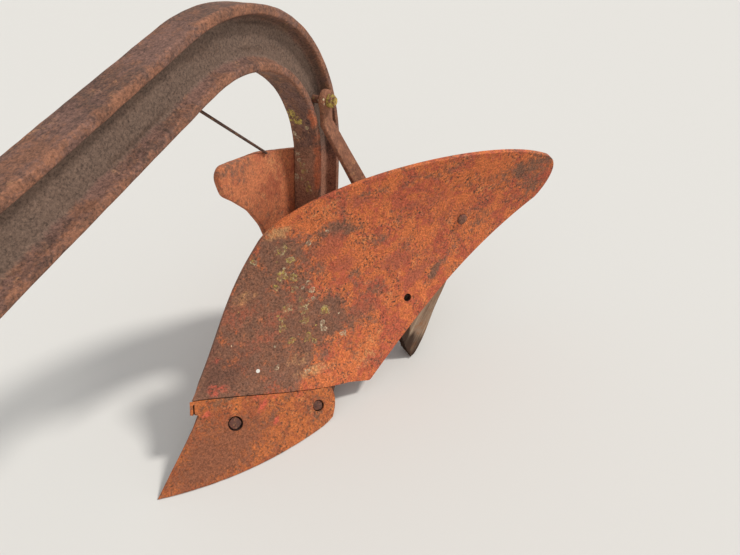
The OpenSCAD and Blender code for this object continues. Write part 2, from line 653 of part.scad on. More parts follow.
translate(stance) beam();
translate(stance) side_plate();
translate(stance) landside();
translate(stance) heel();
translate(stance) frog();
translate(stance) share();
translate(stance) moldboard();
translate(stance) brace();
translate(stance) brace_bolt();
translate(stance) beam_packing();
translate(stance) beam_bolts();
translate(stance) frog_bolts();
translate(stance) landside_bolts();
translate(stance) share_bolt_front();
translate(stance) share_bolt_wing();
translate(stance) moldboard_bolt();
translate(stance) handle_stub();
translate(stance) moldboard_stay();
translate(stance) stay_rod();
translate(stance) hake_cheek_left();
translate(stance) hake_cheek_right();
translate(stance) hake_bolts();
translate(stance) draught_pin();
translate(stance) draught_hook();
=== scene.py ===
"""Finished pieces, materials and stage of a rusted walking plough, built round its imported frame."""

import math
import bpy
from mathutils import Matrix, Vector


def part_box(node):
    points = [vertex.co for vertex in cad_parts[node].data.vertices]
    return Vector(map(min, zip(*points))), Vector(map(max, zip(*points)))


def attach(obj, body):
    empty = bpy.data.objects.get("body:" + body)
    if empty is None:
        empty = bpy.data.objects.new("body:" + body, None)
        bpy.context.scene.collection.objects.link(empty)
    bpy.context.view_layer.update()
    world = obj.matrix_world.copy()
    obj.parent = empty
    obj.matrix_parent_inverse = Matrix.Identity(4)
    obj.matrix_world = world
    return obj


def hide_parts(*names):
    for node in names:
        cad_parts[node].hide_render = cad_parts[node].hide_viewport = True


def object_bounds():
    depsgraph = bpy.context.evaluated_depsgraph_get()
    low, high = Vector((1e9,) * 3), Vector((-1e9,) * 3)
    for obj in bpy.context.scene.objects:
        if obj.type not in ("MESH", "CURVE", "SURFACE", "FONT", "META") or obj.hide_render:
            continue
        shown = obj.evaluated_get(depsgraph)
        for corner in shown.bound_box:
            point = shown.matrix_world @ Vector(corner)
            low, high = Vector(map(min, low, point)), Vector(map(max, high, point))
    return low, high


bl_info = {
    "name": "Rusted walking plough",
    "version": (1, 0, 0),
    "blender": (4, 5, 0),
    "location": "View3D > Sidebar > Plough",
    "description": "Builds the worn pieces, rust finishes and studio stage of a walking plough",
    "category": "Add Mesh",
}

import bmesh
import bpy
from bpy.props import FloatProperty, FloatVectorProperty, PointerProperty
from mathutils import Matrix, Vector, noise

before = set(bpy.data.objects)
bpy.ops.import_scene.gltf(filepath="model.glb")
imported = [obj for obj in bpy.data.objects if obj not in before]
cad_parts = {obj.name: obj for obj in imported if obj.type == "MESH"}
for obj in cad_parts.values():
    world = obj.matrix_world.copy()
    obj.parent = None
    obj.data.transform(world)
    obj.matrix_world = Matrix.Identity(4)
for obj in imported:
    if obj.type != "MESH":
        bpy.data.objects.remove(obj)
cad_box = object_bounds()

# Plough places: millimetres from the share's tip, X the way of travel, Y the throw side, Z up
MM = 0.001
BAR_T = 10
BAR_BACK = 600
land_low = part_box("landside")[0]
SHIFT = Vector((land_low.x + BAR_BACK * MM, land_low.y, 0))


def at(x, y, z):
    """Plough millimetres to the frame's metres."""
    return Vector((x, y, z)) * MM + SHIFT


def plough_mm(point):
    """The frame's metres to plough millimetres."""
    return (point - SHIFT) / MM


def axes_at(spot, x, y, z):
    """Matrix at a plough place with its axes along three directions, in metres."""
    return Matrix.Translation(at(*spot)) @ Matrix((x, y, z)).transposed().to_4x4()


def turn_by(angle, axis):
    """Matrix that turns about an axis by an angle in degrees."""
    return Matrix.Rotation(math.radians(angle), 4, axis)


# Sizes of the beam, as the frame has them
BEAM_W = 45
BEAM_D = 75
FLANGE_T = 11.5
WEB_T = 13
BEND_R = 222
WIDE_R = 268
FALL = 14
FRONT_A = 90 - FALL
JOIN_A = FRONT_A + 35
LEAN = 11
LEG_A = 180 + LEAN
FRONT_LEN = 760
LEG_LEN = 255
BEAM_Y = 2 * BAR_T + BEAM_W / 2
THROW_FACE = BEAM_Y + BEAM_W / 2
SEAT = 0.3


def polar(radius, angle):
    """Point of the plough's side plane at an angle in degrees."""
    turn = math.radians(angle)
    return Vector((radius * math.cos(turn), radius * math.sin(turn)))


ARCH_C = Vector((-283, 371))
WIDE_C = ARCH_C + polar(BEND_R - WIDE_R, JOIN_A)
WIDE_RUN = WIDE_R * math.radians(JOIN_A - FRONT_A)
TIGHT_RUN = BEND_R * math.radians(LEG_A - JOIN_A)
LEG_START = FRONT_LEN + WIDE_RUN + TIGHT_RUN
# How far in front of the tight bend's centre a place can still belong to that bend
CROWN_X = 60
BRACE_PT = ARCH_C + polar(BEND_R - BEAM_D / 2, 160.5)


def front_at(along, off):
    """Point of the beam's front stretch: along it from the bend, off down from its top."""
    return WIDE_C + polar(WIDE_R - off, FRONT_A) + along * polar(1, -FALL)


def leg_at(leg, off):
    """Point of the beam: down its leg from the bend, or back round the bend; off in from its rear."""
    bend = LEG_A + math.degrees(min(0, leg) / BEND_R)
    return ARCH_C + polar(BEND_R - off, bend) + max(0, leg) * polar(1, LEAN - 90)


def unit(value):
    """Value held between 0 and 1."""
    return min(1.0, max(0.0, value))


def smooth(value):
    """Eases 0 to 1."""
    k = unit(value)
    return k * k * (3 - 2 * k)


def mixed(a, b, k):
    """Straight line from a to b."""
    return a + (b - a) * k


def cubic(points, k):
    """Cubic curve through the first and last of four points."""
    m = 1 - k
    return m ** 3 * points[0] + 3 * m * m * k * points[1] + 3 * m * k * k * points[2] + k ** 3 * points[3]


# Working surface of share and moldboard: level straight lines from the breast's profile
MOLD_T = 8
SHARE_T = 9
EDGE_T = 2
BREAST_R = 620
TIP_SLOPE = math.radians(36)
EDGE_ANGLE = 36
TOP_ANGLE = 45
TOP_LINE_Z = 350
EDGE_BOW = 22
EDGE_LEN = 274
BOW_PAST = 20
JOINT_Z = 95
WING_Z = 43
SHARE_BOLT_A = (86, 52)
SHARE_BOLT_B = (235, 29)
MOLD_BOLT = (430, 233)
MOLD_HOLE = (366, 124)


def breast_x(z):
    """Breast's profile in the land side's plane."""
    c = math.cos(TIP_SLOPE) - z / BREAST_R
    return -BREAST_R * (math.sqrt(1 - c * c) - math.sin(TIP_SLOPE))


def line_angle(z):
    """Angle of the level line at a height."""
    return math.radians(EDGE_ANGLE + (TOP_ANGLE - EDGE_ANGLE) * (max(z, 0) / TOP_LINE_Z) ** 2)


def face_point(t, z):
    """Point of the working surface, t along the level line at height z."""
    a = line_angle(z)
    k = unit(t / (EDGE_LEN + BOW_PAST))
    bow = EDGE_BOW * max(0, 1 - max(z, 0) / JOINT_Z) * 4 * k * (1 - k)
    return Vector((breast_x(z) - t * math.cos(a) + bow * math.sin(a), t * math.sin(a) + bow * math.cos(a), z))


def face_normal(t, z):
    """Unit normal of the working surface, out of its front."""
    along = face_point(t + 2, z) - face_point(t - 2, z)
    up = face_point(t, z + 2) - face_point(t, z - 2)
    return along.cross(up).normalized()


def face_lie(point):
    """Place (t, z) on the surface beside a point near it."""
    a = line_angle(point.z)
    return (breast_x(point.z) - point.x) * math.cos(a) + point.y * math.sin(a), point.z


def face_frame(t, z, lift=0.0):
    """Matrix with its Z out of the surface at a place, in metres."""
    n = face_normal(t, z)
    spot = face_point(t, z) + n * lift
    turn = n.to_track_quat("Z", "Y").to_matrix().to_4x4()
    return Matrix.Translation(at(*spot)) @ turn


# Outline of the moldboard on that surface
LOW_LAND = Vector((4, JOINT_Z + 3))
LOW_WING = Vector((252, WING_Z + 1))
LOW_CORNER = Vector((337, 25))
TAIL_LOW = Vector((583, 234))
TAIL_TOP = Vector((556, 319))
SHIN_TOP = Vector((68, 281))
LOWER_CURVE = (LOW_CORNER, Vector((405, 90)), Vector((470, 160)), TAIL_LOW)
SHIN_CURVE = (LOW_LAND, Vector((26, 168)), Vector((22, 215)), SHIN_TOP)
TOP_CURVE = (SHIN_TOP, Vector((99, 344)), Vector((398, 385)), TAIL_TOP)
TAIL_CURVE = (TAIL_LOW, Vector((604, 262)), Vector((596, 306)), TAIL_TOP)
WING_K = 0.3
CORNER_K = 0.42


def lower_side(k):
    """Lower edge of the moldboard: along the share, the open corner, then up to the tail."""
    if k < WING_K:
        return mixed(LOW_LAND, LOW_WING, k / WING_K)
    if k < CORNER_K:
        return mixed(LOW_WING, LOW_CORNER, (k - WING_K) / (CORNER_K - WING_K))
    return cubic(LOWER_CURVE, (k - CORNER_K) / (1 - CORNER_K))


def mold_patch(u, v):
    """Place on the surface of the moldboard's own u and v."""
    corners = ((1 - u) * (1 - v) * LOW_LAND + u * (1 - v) * TAIL_LOW
               + (1 - u) * v * SHIN_TOP + u * v * TAIL_TOP)
    return ((1 - v) * lower_side(u) + v * cubic(TOP_CURVE, u)
            + (1 - u) * cubic(SHIN_CURVE, v) + u * cubic(TAIL_CURVE, v) - corners)


# Share: its land side is worn back from the tip, with a lip left at the joint
SHARE_SIDE = [Vector(p) for p in ((0, 1.5), (2.6, 14), (5.6, 27), (13.5, 50), (22.8, 77), (7.5, 80.4),
                                  (1, JOINT_Z + 2.5))]
SHARE_WING = Vector((EDGE_LEN + 3, 4.5))
SHARE_JOINT = LOW_WING - Vector((1, 0.4))
SHARE_BULGE = 22
EDGE_DROP = 3
DROP_END = 0.94


def share_patch(u, v):
    """Place on the surface of the share's own u and v."""
    z = mixed(SHARE_SIDE[0].y, SHARE_SIDE[-1].y, v)
    side = SHARE_SIDE[-1]
    for low, high in zip(SHARE_SIDE, SHARE_SIDE[1:]):
        if z <= high.y:
            side = mixed(low, high, (z - low.y) / (high.y - low.y))
            break
    wing = mixed(SHARE_WING, SHARE_JOINT, v) + Vector((SHARE_BULGE * v * (1 - v), 0))
    drop = EDGE_DROP * (1 - v) * (1 - (max(0, u - DROP_END) / (1 - DROP_END)) ** 2) * u
    return mixed(side, wing, u) - Vector((0, drop))


# Colours
def tone(red, green, blue):
    """Linear colour of a written one."""
    def line(value):
        c = value / 255
        return c / 12.92 if c <= 0.04045 else ((c + 0.055) / 1.055) ** 2.4
    return (line(red), line(green), line(blue))


def colour_prop(name, text, red, green, blue):
    """Colour setting."""
    return FloatVectorProperty(name=name, description=text, default=tone(red, green, blue),
                               subtype="COLOR", size=3, min=0, max=1)


def size_prop(name, text, default, low, high):
    """Length setting, in metres."""
    return FloatProperty(name=name, description=text, default=default, min=low, max=high,
                         subtype="DISTANCE", unit="LENGTH")


class PloughSizes(bpy.types.PropertyGroup):
    """Sizes that the finished pieces take beside the frame's own."""
    toe_round: size_prop("Flange rounding", "Radius of the beam's outer flange edges", 0.0035, 0.001, 0.004)
    plate_round: size_prop("Plate rounding", "Worn rounding of plate edges", 0.0012, 0.0004, 0.003)
    bolt_round: size_prop("Bolt rounding", "Worn rounding of bolt heads and nuts", 0.0013, 0.0004, 0.003)
    beam_wear: size_prop("Beam wear", "Height of the beam's rolled and rusted unevenness", 0.0004, 0, 0.001)
    grain_depth: size_prop("Wood grain", "Depth of the weathered wood's grooves", 0.0011, 0, 0.003)
    crack_gap: size_prop("Lip crack", "Width of the crack in the share's lip", 0.0021, 0.0005, 0.004)
    rust_grain: size_prop("Rust grain", "Size of the finest rust crust", 0.0016, 0.0005, 0.005)


class PloughFinish(bpy.types.PropertyGroup):
    """Colours of the plough's finishes."""
    orange: colour_prop("Orange rust", "Bright rust of the open plates", 203, 110, 62)
    red_rust: colour_prop("Red rust", "Redder rust between the bright patches", 176, 86, 60)
    brown: colour_prop("Brown patina", "Old hard patina", 126, 86, 66)
    dark: colour_prop("Dark patina", "Darkest scale", 84, 60, 51)
    plum: colour_prop("Plum patina", "Purple-brown of the beam's top", 120, 88, 76)
    web: colour_prop("Web grey", "Grey-brown of the beam's sheltered web", 108, 88, 75)
    ochre: colour_prop("Ochre dust", "Pale rust bloom", 194, 142, 94)
    paint: colour_prop("Old red paint", "Traces of paint at the joint", 198, 88, 66)
    lichen: colour_prop("Yellow lichen", "Yellow-green lichen", 190, 166, 82)
    pale_lichen: colour_prop("Pale lichen", "Cream lichen", 210, 192, 158)
    wood: colour_prop("Grey wood", "Weathered wood", 152, 126, 104)
    # Also the painted shade on the wood seen through the moldboard's open bore
    rot: colour_prop("Rotten wood", "Rotten end of the wood", 52, 36, 28)
    floor: colour_prop("Floor", "Studio floor", 214, 211, 205)


# Near black painted on the walls of bores, bolt seats and the lip's crack as their shade
PAINTED_SHADE_BLACK = (0.006, 0.005, 0.005)


# Mesh work
MERGE = 1e-6
SMOOTH_ANGLE = 40


def clear():
    """Leaves nothing selected."""
    bpy.ops.object.select_all(action="DESELECT")


def made(name):
    """Names the object that an operator has just added."""
    piece = bpy.context.object
    piece.name = name
    piece.data.name = name
    return piece


def pick(piece):
    """Makes one piece the only selected and the active one."""
    clear()
    piece.select_set(True)
    bpy.context.view_layer.objects.active = piece


def start_grid(name, cols, rows):
    """Grid with corners at 0 and 1, its points ready to be placed."""
    clear()
    bpy.ops.mesh.primitive_grid_add(x_subdivisions=cols, y_subdivisions=rows, size=1, location=(0, 0, 0))
    piece = made(name)
    for v in piece.data.vertices:
        v.co += Vector((0.5, 0.5, 0))
    return piece


def start_ring(name, points):
    """Ring of edges through the points."""
    clear()
    bpy.ops.mesh.primitive_circle_add(vertices=len(points), radius=1, fill_type="NOTHING", location=(0, 0, 0))
    piece = made(name)
    for v, point in zip(piece.data.vertices, points):
        v.co = point
    return piece


def start_block(name):
    """Cube with sides of one, about the origin."""
    clear()
    bpy.ops.mesh.primitive_cube_add(size=1, location=(0, 0, 0))
    return made(name)


def start_cylinder(name, sides, radius, low, high):
    """Cylinder on Z from low to high, in millimetres."""
    clear()
    bpy.ops.mesh.primitive_cylinder_add(vertices=sides, radius=radius * MM, depth=(high - low) * MM,
                                        location=(0, 0, (low + high) / 2 * MM))
    piece = made(name)
    pick(piece)
    bpy.ops.object.transform_apply(location=True, rotation=True, scale=True)
    return piece


def edit(piece, mode="VERT"):
    """Opens a piece in edit mode with all of it selected."""
    pick(piece)
    bpy.ops.object.mode_set(mode="EDIT")
    bpy.ops.mesh.select_mode(type=mode)
    select_whole()


def select_whole():
    """Selects all of the mesh in edit mode."""
    bpy.ops.mesh.select_all(action="SELECT")


def leave():
    """Closes edit mode."""
    bpy.ops.object.mode_set(mode="OBJECT")


def face_out():
    """Turns the faces outwards and closes edit mode."""
    select_whole()
    bpy.ops.mesh.normals_make_consistent(inside=False)
    leave()


def close_up():
    """Merges doubles, fills the open ends, turns the faces outwards and closes edit mode."""
    select_whole()
    bpy.ops.mesh.remove_doubles(threshold=MERGE)
    select_whole()
    bpy.ops.mesh.fill_holes(sides=0)
    face_out()


def move_picked(piece, place):
    """Moves the selected points of the piece in edit mode."""
    work = bmesh.from_edit_mesh(piece.data)
    for v in work.verts:
        if v.select:
            v.co = place(v.co)
    bmesh.update_edit_mesh(piece.data)


def draw_on(way, length, steps):
    """Extrudes the selected ring straight on in the side plane."""
    step = way * (length / steps * MM)
    for i in range(steps):
        bpy.ops.mesh.extrude_edges_move(TRANSFORM_OT_translate={"value": (step.x, 0, step.y)})


def sweep(piece, frames):
    """Extrudes the selected ring from frame to frame."""
    for a, b in zip(frames, frames[1:]):
        bpy.ops.mesh.extrude_edges_move()
        step = b @ a.inverted()
        move_picked(piece, lambda co: step @ co)


def thicken(piece, back_of):
    """Extrudes a skin and puts the copy at back_of(its place), inside the land side and over the ground."""
    edit(piece)
    bpy.ops.mesh.extrude_region_move()

    def placed(co):
        spot = back_of(plough_mm(co))
        return at(spot.x, max(spot.y, 0), max(spot.z, 0))

    move_picked(piece, placed)
    close_up()


def apply_modifier(piece, kind, **settings):
    """Adds a modifier and applies it."""
    pick(piece)
    modifier = piece.modifiers.new(kind.lower(), kind)
    for key, value in settings.items():
        setattr(modifier, key, value)
    bpy.ops.object.modifier_apply(modifier=modifier.name)


def round_edges(piece, width, angle=35, segments=2):
    """Rounds every edge sharper than the angle."""
    apply_modifier(piece, "BEVEL", width=width, segments=segments, limit_method="ANGLE",
                   angle_limit=math.radians(angle))


def carve(piece, tool, operation="DIFFERENCE"):
    """Cuts a tool out of a piece, or unites them, and removes the tool."""
    apply_modifier(piece, "BOOLEAN", operation=operation, object=tool, solver="EXACT")
    bpy.data.objects.remove(tool)


def join(parts, name):
    """Joins finished parts into one piece."""
    clear()
    for part in parts:
        part.select_set(True)
    bpy.context.view_layer.objects.active = parts[0]
    bpy.ops.object.join()
    return made(name)


def turned(name, profile, steps=40):
    """Solid turned about Z from a closed profile of (radius, height), in millimetres."""
    piece = start_ring(name, [Vector((r * MM, 0, h * MM)) for r, h in profile])
    edit(piece)
    bpy.ops.mesh.spin(steps=steps, angle=2 * math.pi, center=(0, 0, 0), axis=(0, 0, 1))
    select_whole()
    bpy.ops.mesh.remove_doubles(threshold=MERGE)
    select_whole()
    bpy.ops.mesh.delete_loose()
    face_out()
    return piece


def hexagon(name, across, low, high, width):
    """Hexagon head or nut on Z, its corners worn round."""
    piece = start_cylinder(name, 6, across / 2 / math.cos(math.radians(30)), low, high)
    round_edges(piece, width, segments=3)
    return piece


def drill(piece, place, profile):
    """Cuts a turned hole into the working surface."""
    tool = turned("drill", profile, 48)
    tool.data.transform(face_frame(*place))
    carve(piece, tool)


def roughen(piece, height, size, seed):
    """Moves points along their normals by soft noise of that size in millimetres."""
    shift = Vector((seed, seed * 1.7, -seed))
    normals = [v.normal.copy() for v in piece.data.vertices]
    for v, n in zip(piece.data.vertices, normals):
        v.co += n * (noise.fractal(plough_mm(v.co) / size + shift, 0.8, 2.1, 3) * height)


def wave(x, y, z):
    """Soft noise about zero."""
    return noise.noise(Vector((x, y, z)))


def inside_box(piece):
    """Keeps every point of a piece inside the frame's box."""
    low, high = cad_box
    for v in piece.data.vertices:
        v.co = Vector([min(max(c, a), b) for c, a, b in zip(v.co, low, high)])


def paint(piece, rule):
    """Stores the named values of rule(place in plough millimetres) on each point of a piece."""
    marks = [rule(plough_mm(v.co)) for v in piece.data.vertices]
    for name in marks[0]:
        layer = piece.data.attributes.new(name, "FLOAT", "POINT")
        layer.data.foreach_set("value", [mark[name] for mark in marks])


def blots(p, q, spots):
    """Strength of soft oval patches at a place: centre, half length, half width, turn, strength."""
    total = 0.0
    for cp, cq, a, b, turn, strength in spots:
        c, s = polar(1, turn)
        dp, dq = p - cp, q - cq
        reach = math.hypot((dp * c + dq * s) / a, (dq * c - dp * s) / b)
        total += strength * (1 - smooth(reach / 1.6))
    return unit(total)


def finish_piece(piece, name, node, finish, slot, body="plough"):
    """Names, shades and dresses a piece, ties it to its body and hides its node; slot is not used."""
    piece.name = name
    piece.data.name = name
    inside_box(piece)
    if "moss" not in piece.data.attributes:
        paint(piece, lambda point: {"moss": 0.0})
    pick(piece)
    bpy.ops.object.shade_smooth_by_angle(angle=math.radians(SMOOTH_ANGLE))
    piece.data.materials.clear()
    piece.data.materials.append(finish)
    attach(piece, body)
    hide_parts(node)
    clear()


def add_worn(node, finish, slot, width, segments=2):
    """Shows a frame's node as a copy with its doubles merged and its edges worn round."""
    piece = bpy.data.objects.new(node + "_worn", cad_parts[node].data.copy())
    bpy.context.collection.objects.link(piece)
    edit(piece)
    bpy.ops.mesh.remove_doubles(threshold=2 * MERGE)
    bpy.ops.mesh.dissolve_limited(angle_limit=math.radians(0.5))
    face_out()
    round_edges(piece, width, segments=segments)
    finish_piece(piece, "worn_" + node, node, finish, slot)


# Nodes
def join_in(tree, node, key, value):
    """Sets a node's input to a value, or links a socket to it."""
    if isinstance(value, bpy.types.NodeSocket):
        tree.links.new(value, node.inputs[key])
    else:
        node.inputs[key].default_value = value


def put(tree, kind, links=None, **settings):
    """Adds a node; links holds a value or a socket for each input."""
    node = tree.nodes.new(kind)
    for key, value in settings.items():
        setattr(node, key, value)
    for key, value in (links or {}).items():
        join_in(tree, node, key, value)
    return node


def calc(tree, operation, a, b=0.0, clamp=False):
    """Math node's result."""
    return put(tree, "ShaderNodeMath", {0: a, 1: b}, operation=operation, use_clamp=clamp).outputs[0]


def times(tree, a, b, clamp=False):
    """Product."""
    return calc(tree, "MULTIPLY", a, b, clamp)


def span(tree, value, low, high, start=0.0, end=1.0):
    """Value eased from low..high to start..end."""
    links = {"Value": value, "From Min": low, "From Max": high, "To Min": start, "To Max": end}
    return put(tree, "ShaderNodeMapRange", links, interpolation_type="SMOOTHSTEP").outputs[0]


def mix(tree, factor, a, b, way="MIX"):
    """Colour mix's result."""
    node = put(tree, "ShaderNodeMix", {0: factor}, data_type="RGBA", blend_type=way)
    for index, value in ((6, a), (7, b)):
        join_in(tree, node, index, value if isinstance(value, bpy.types.NodeSocket) else (*value[:3], 1))
    return node.outputs[2]


def noise_of(tree, vector, scale, detail, rough, warp):
    """Noise node's outputs."""
    links = {"Vector": vector, "Scale": scale, "Detail": detail, "Roughness": rough, "Distortion": warp}
    return put(tree, "ShaderNodeTexNoise", links).outputs


def cloud(tree, vector, scale, detail=4.0, rough=0.6):
    """Noise value."""
    return noise_of(tree, vector, scale, detail, rough, 0.0)["Fac"]


def parted(tree, colour):
    """The three values of a colour."""
    return put(tree, "ShaderNodeSeparateColor", {0: colour}).outputs


def fields(tree, vector, scale, detail, rough, warp=0.0):
    """Three separate noise values of one scale."""
    return parted(tree, noise_of(tree, vector, scale, detail, rough, warp)["Color"])


def lean_to(tree, start, parts):
    """Start value pushed up and down by noise values, each by its own share."""
    total = start
    for value, share in parts:
        total = calc(tree, "ADD", total, times(tree, calc(tree, "SUBTRACT", value, 0.5), share))
    return total


def shaded(tree, colour, light):
    """Colour made lighter or darker by a value."""
    grey = put(tree, "ShaderNodeCombineColor", {0: light, 1: light, 2: light}).outputs[0]
    return mix(tree, 1.0, colour, grey, "MULTIPLY"), grey


def cells(tree, vector, scale):
    """Cell pattern's outputs."""
    return put(tree, "ShaderNodeTexVoronoi", {"Vector": vector, "Scale": scale}).outputs


def distance(tree, vector, place):
    """Distance from a place."""
    links = {0: vector, 1: tuple(place)}
    return put(tree, "ShaderNodeVectorMath", links, operation="DISTANCE").outputs["Value"]


def stored(tree, name, output="Fac"):
    """Value painted on the piece."""
    return put(tree, "ShaderNodeAttribute", attribute_name=name).outputs[output]


def stretch(tree, vector, scale):
    """Vector scaled."""
    return put(tree, "ShaderNodeMapping", {"Vector": vector, "Scale": scale}).outputs[0]


def new_group(name, inputs, outputs):
    """Empty node group with named sockets; returns its tree, its inputs and its output node."""
    tree = bpy.data.node_groups.new(name, "ShaderNodeTree")
    for label, kind, *value in inputs:
        socket = tree.interface.new_socket(label, in_out="INPUT", socket_type="NodeSocket" + kind)
        if value:
            socket.default_value = value[0]
    for label, kind in outputs:
        tree.interface.new_socket(label, in_out="OUTPUT", socket_type="NodeSocket" + kind)
    return tree, tree.nodes.new("NodeGroupInput").outputs, tree.nodes.new("NodeGroupOutput")


def group(tree, name, links):
    """Places a node group and gives its outputs."""
    return put(tree, "ShaderNodeGroup", links, node_tree=bpy.data.node_groups[name]).outputs


def send(tree, end, values):
    """Links values to a group's outputs."""
    for key, value in values.items():
        tree.links.new(value, end.inputs[key])


def build_coat():
    """Layers of old rust: two bright tones, dusty bloom, soft brown patina, and dark specks."""
    inputs = (("Vector", "Vector"), ("Bright", "Color"), ("Middle", "Color"), ("Dusty", "Color"),
              ("Deep", "Color"), ("Grey", "Color"), ("Patch Scale", "Float", 20.0),
              ("Grain Scale", "Float", 600.0), ("Middle Share", "Float", 0.5), ("Patina", "Float", 0.0),
              ("Specks", "Float", 0.5), ("Contrast", "Float", 0.5))
    outputs = (("Color", "Color"), ("Height", "Float"), ("Grain", "Float"), ("Ragged", "Float"),
               ("Level", "Color"))
    tree, start, end = new_group("Rust coat", inputs, outputs)
    vector, patch, grain_scale = start["Vector"], start["Patch Scale"], start["Grain Scale"]
    wide = fields(tree, vector, patch, 6, 0.62, 0.6)
    fine = fields(tree, vector, times(tree, patch, 4.3), 6, 0.68, 0.3)
    grain = cloud(tree, vector, grain_scale, 4, 0.75)
    crust = fields(tree, vector, times(tree, grain_scale, 0.55), 3, 0.7, 0.3)
    lean = lean_to(tree, start["Middle Share"], ((wide[0], 2.4), (fine[0], 2.0), (crust[0], 0.8)))
    colour = mix(tree, span(tree, lean, 0.28, 0.72), start["Bright"], start["Middle"])
    bloom = lean_to(tree, 0.0, ((fine[1], 2.0), (wide[1], 1.4), (crust[1], 0.9)))
    colour = mix(tree, times(tree, span(tree, bloom, 0.1, 0.6), 0.5), colour, start["Dusty"])
    base = times(tree, start["Patina"], 1.02)
    old = lean_to(tree, base, ((wide[2], 2.2), (fine[2], 2.6), (crust[2], 1.5)))
    brown = mix(tree, span(tree, fine[0], 0.38, 0.6), start["Deep"], start["Grey"])
    colour = mix(tree, times(tree, span(tree, old, 0.12, 0.9), 0.94), colour, brown)
    cell = cells(tree, vector, times(tree, grain_scale, 0.62))
    near = span(tree, cell["Distance"], 0.14, 0.46, 1, 0)
    pits = times(tree, near, span(tree, cell["Color"], 0.5, 0.66))
    pits = times(tree, pits, span(tree, fine[1], 0.42, 0.6))
    fleck = span(tree, cloud(tree, vector, times(tree, grain_scale, 0.5), 2, 0.5), 0.55, 0.63)
    fleck = times(tree, fleck, span(tree, wide[1], 0.38, 0.56))
    pits = times(tree, calc(tree, "MAXIMUM", pits, fleck), start["Specks"], True)
    colour = mix(tree, pits, colour, mix(tree, 0.45, start["Deep"], (0.02, 0.012, 0.01)))
    level = lean_to(tree, 0.0, ((grain, 1.6), (crust[0], 2.2), (fine[1], 0.6)))
    colour, grey = shaded(tree, colour, calc(tree, "ADD", times(tree, level, start["Contrast"]), 1.0))
    rise = calc(tree, "ADD", times(tree, grain, 0.5), times(tree, fine[0], 0.6))
    height = calc(tree, "SUBTRACT", rise, times(tree, pits, 0.35))
    ragged = lean_to(tree, 0.0, ((fine[1], 2.2), (wide[0], 0.8), (crust[1], 1.4)))
    send(tree, end, {"Color": colour, "Height": height, "Grain": grain, "Ragged": ragged, "Level": grey})


def build_lichen():
    """Lichen: placed rings, crumbs where the cover is low, and a mat where it is high."""
    inputs = (("Vector", "Vector"), ("Scale", "Float", 120.0), ("Cover", "Float", 0.0),
              ("Yellow Ring", "Float", 9.0), ("Pale Ring", "Float", 9.0), ("Yellow", "Color"),
              ("Pale", "Color"))
    tree, start, end = new_group("Lichen", inputs, (("Mask", "Float"), ("Color", "Color")))
    vector, cover = start["Vector"], start["Cover"]
    wobble = fields(tree, vector, 260.0, 3, 0.6)
    broad = fields(tree, vector, 110.0, 2, 0.5)
    near = calc(tree, "MINIMUM", start["Yellow Ring"], start["Pale Ring"])
    near = lean_to(tree, near, ((wobble[0], 2.4), (broad[0], 2.4)))
    body = span(tree, near, 0.75, 1.1, 1, 0)
    arc = span(tree, broad[1], 0.4, 0.56, 0.3, 1)
    ring = times(tree, times(tree, body, arc), span(tree, near, 0.25, 0.7, 0.25, 1))
    spots = cells(tree, vector, start["Scale"])
    parts = parted(tree, spots["Color"])
    reach = span(tree, parts[0], 0.0, 1.0, 0.1, 0.3)
    gap = lean_to(tree, calc(tree, "SUBTRACT", reach, spots["Distance"]), ((wobble[1], 0.5),))
    speck = times(tree, span(tree, gap, 0.0, 0.05), calc(tree, "LESS_THAN", parts[1], cover))
    crumb = span(tree, cloud(tree, vector, 520.0, 3), 0.36, 0.5)
    grown = times(tree, calc(tree, "MAXIMUM", ring, speck), crumb)
    thick = span(tree, cover, 0.72, 0.95)
    tufts = ((cloud(tree, vector, 300.0, 4, 0.7), 2.4), (broad[0], 1.6))
    mat = span(tree, lean_to(tree, times(tree, thick, 0.62), tufts), 0.4, 0.62)
    mask = calc(tree, "MAXIMUM", grown, times(tree, mat, span(tree, thick, 0.0, 0.3)), True)
    pale = calc(tree, "LESS_THAN", start["Pale Ring"], start["Yellow Ring"])
    pale = calc(tree, "MAXIMUM", pale, span(tree, broad[2], 0.42, 0.64, 0, 0.75))
    pale = mix(tree, body, span(tree, parts[2], 0.4, 0.7), pale)
    colour = mix(tree, calc(tree, "SUBTRACT", pale, thick, True), start["Yellow"], start["Pale"])
    light = span(tree, lean_to(tree, 0.5, ((wobble[2], 1.6), (broad[1], 1.0))), 0.2, 0.8, 0.5, 1.15)
    send(tree, end, {"Mask": mask, "Color": shaded(tree, colour, light)[0]})


def ring_field(tree, vector, rings):
    """Distance to the nearest ring's middle, in radii of that ring."""
    nearest = 9.0
    for place, radius in rings:
        reach = calc(tree, "DIVIDE", distance(tree, vector, place), radius)
        nearest = calc(tree, "MINIMUM", reach, nearest)
    return nearest


def build_groups():
    """Builds each shared node group once."""
    for name, rule in (("Rust coat", build_coat), ("Lichen", build_lichen)):
        if name not in bpy.data.node_groups:
            rule()


def new_finish(name, gloss):
    """Empty material with its Principled shader; returns material, tree and shader."""
    material = bpy.data.materials.new(name)
    material.use_nodes = True
    tree = material.node_tree
    tree.nodes.clear()
    shader = tree.nodes.new("ShaderNodeBsdfPrincipled")
    shader.inputs["Specular IOR Level"].default_value = gloss
    end = tree.nodes.new("ShaderNodeOutputMaterial")
    tree.links.new(shader.outputs[0], end.inputs["Surface"])
    return material, tree, shader


def bump(tree, shader, height, rise, strength):
    """Feeds a height to the shader's normal."""
    node = put(tree, "ShaderNodeBump", {"Height": height, "Distance": rise, "Strength": strength})
    tree.links.new(node.outputs[0], shader.inputs["Normal"])


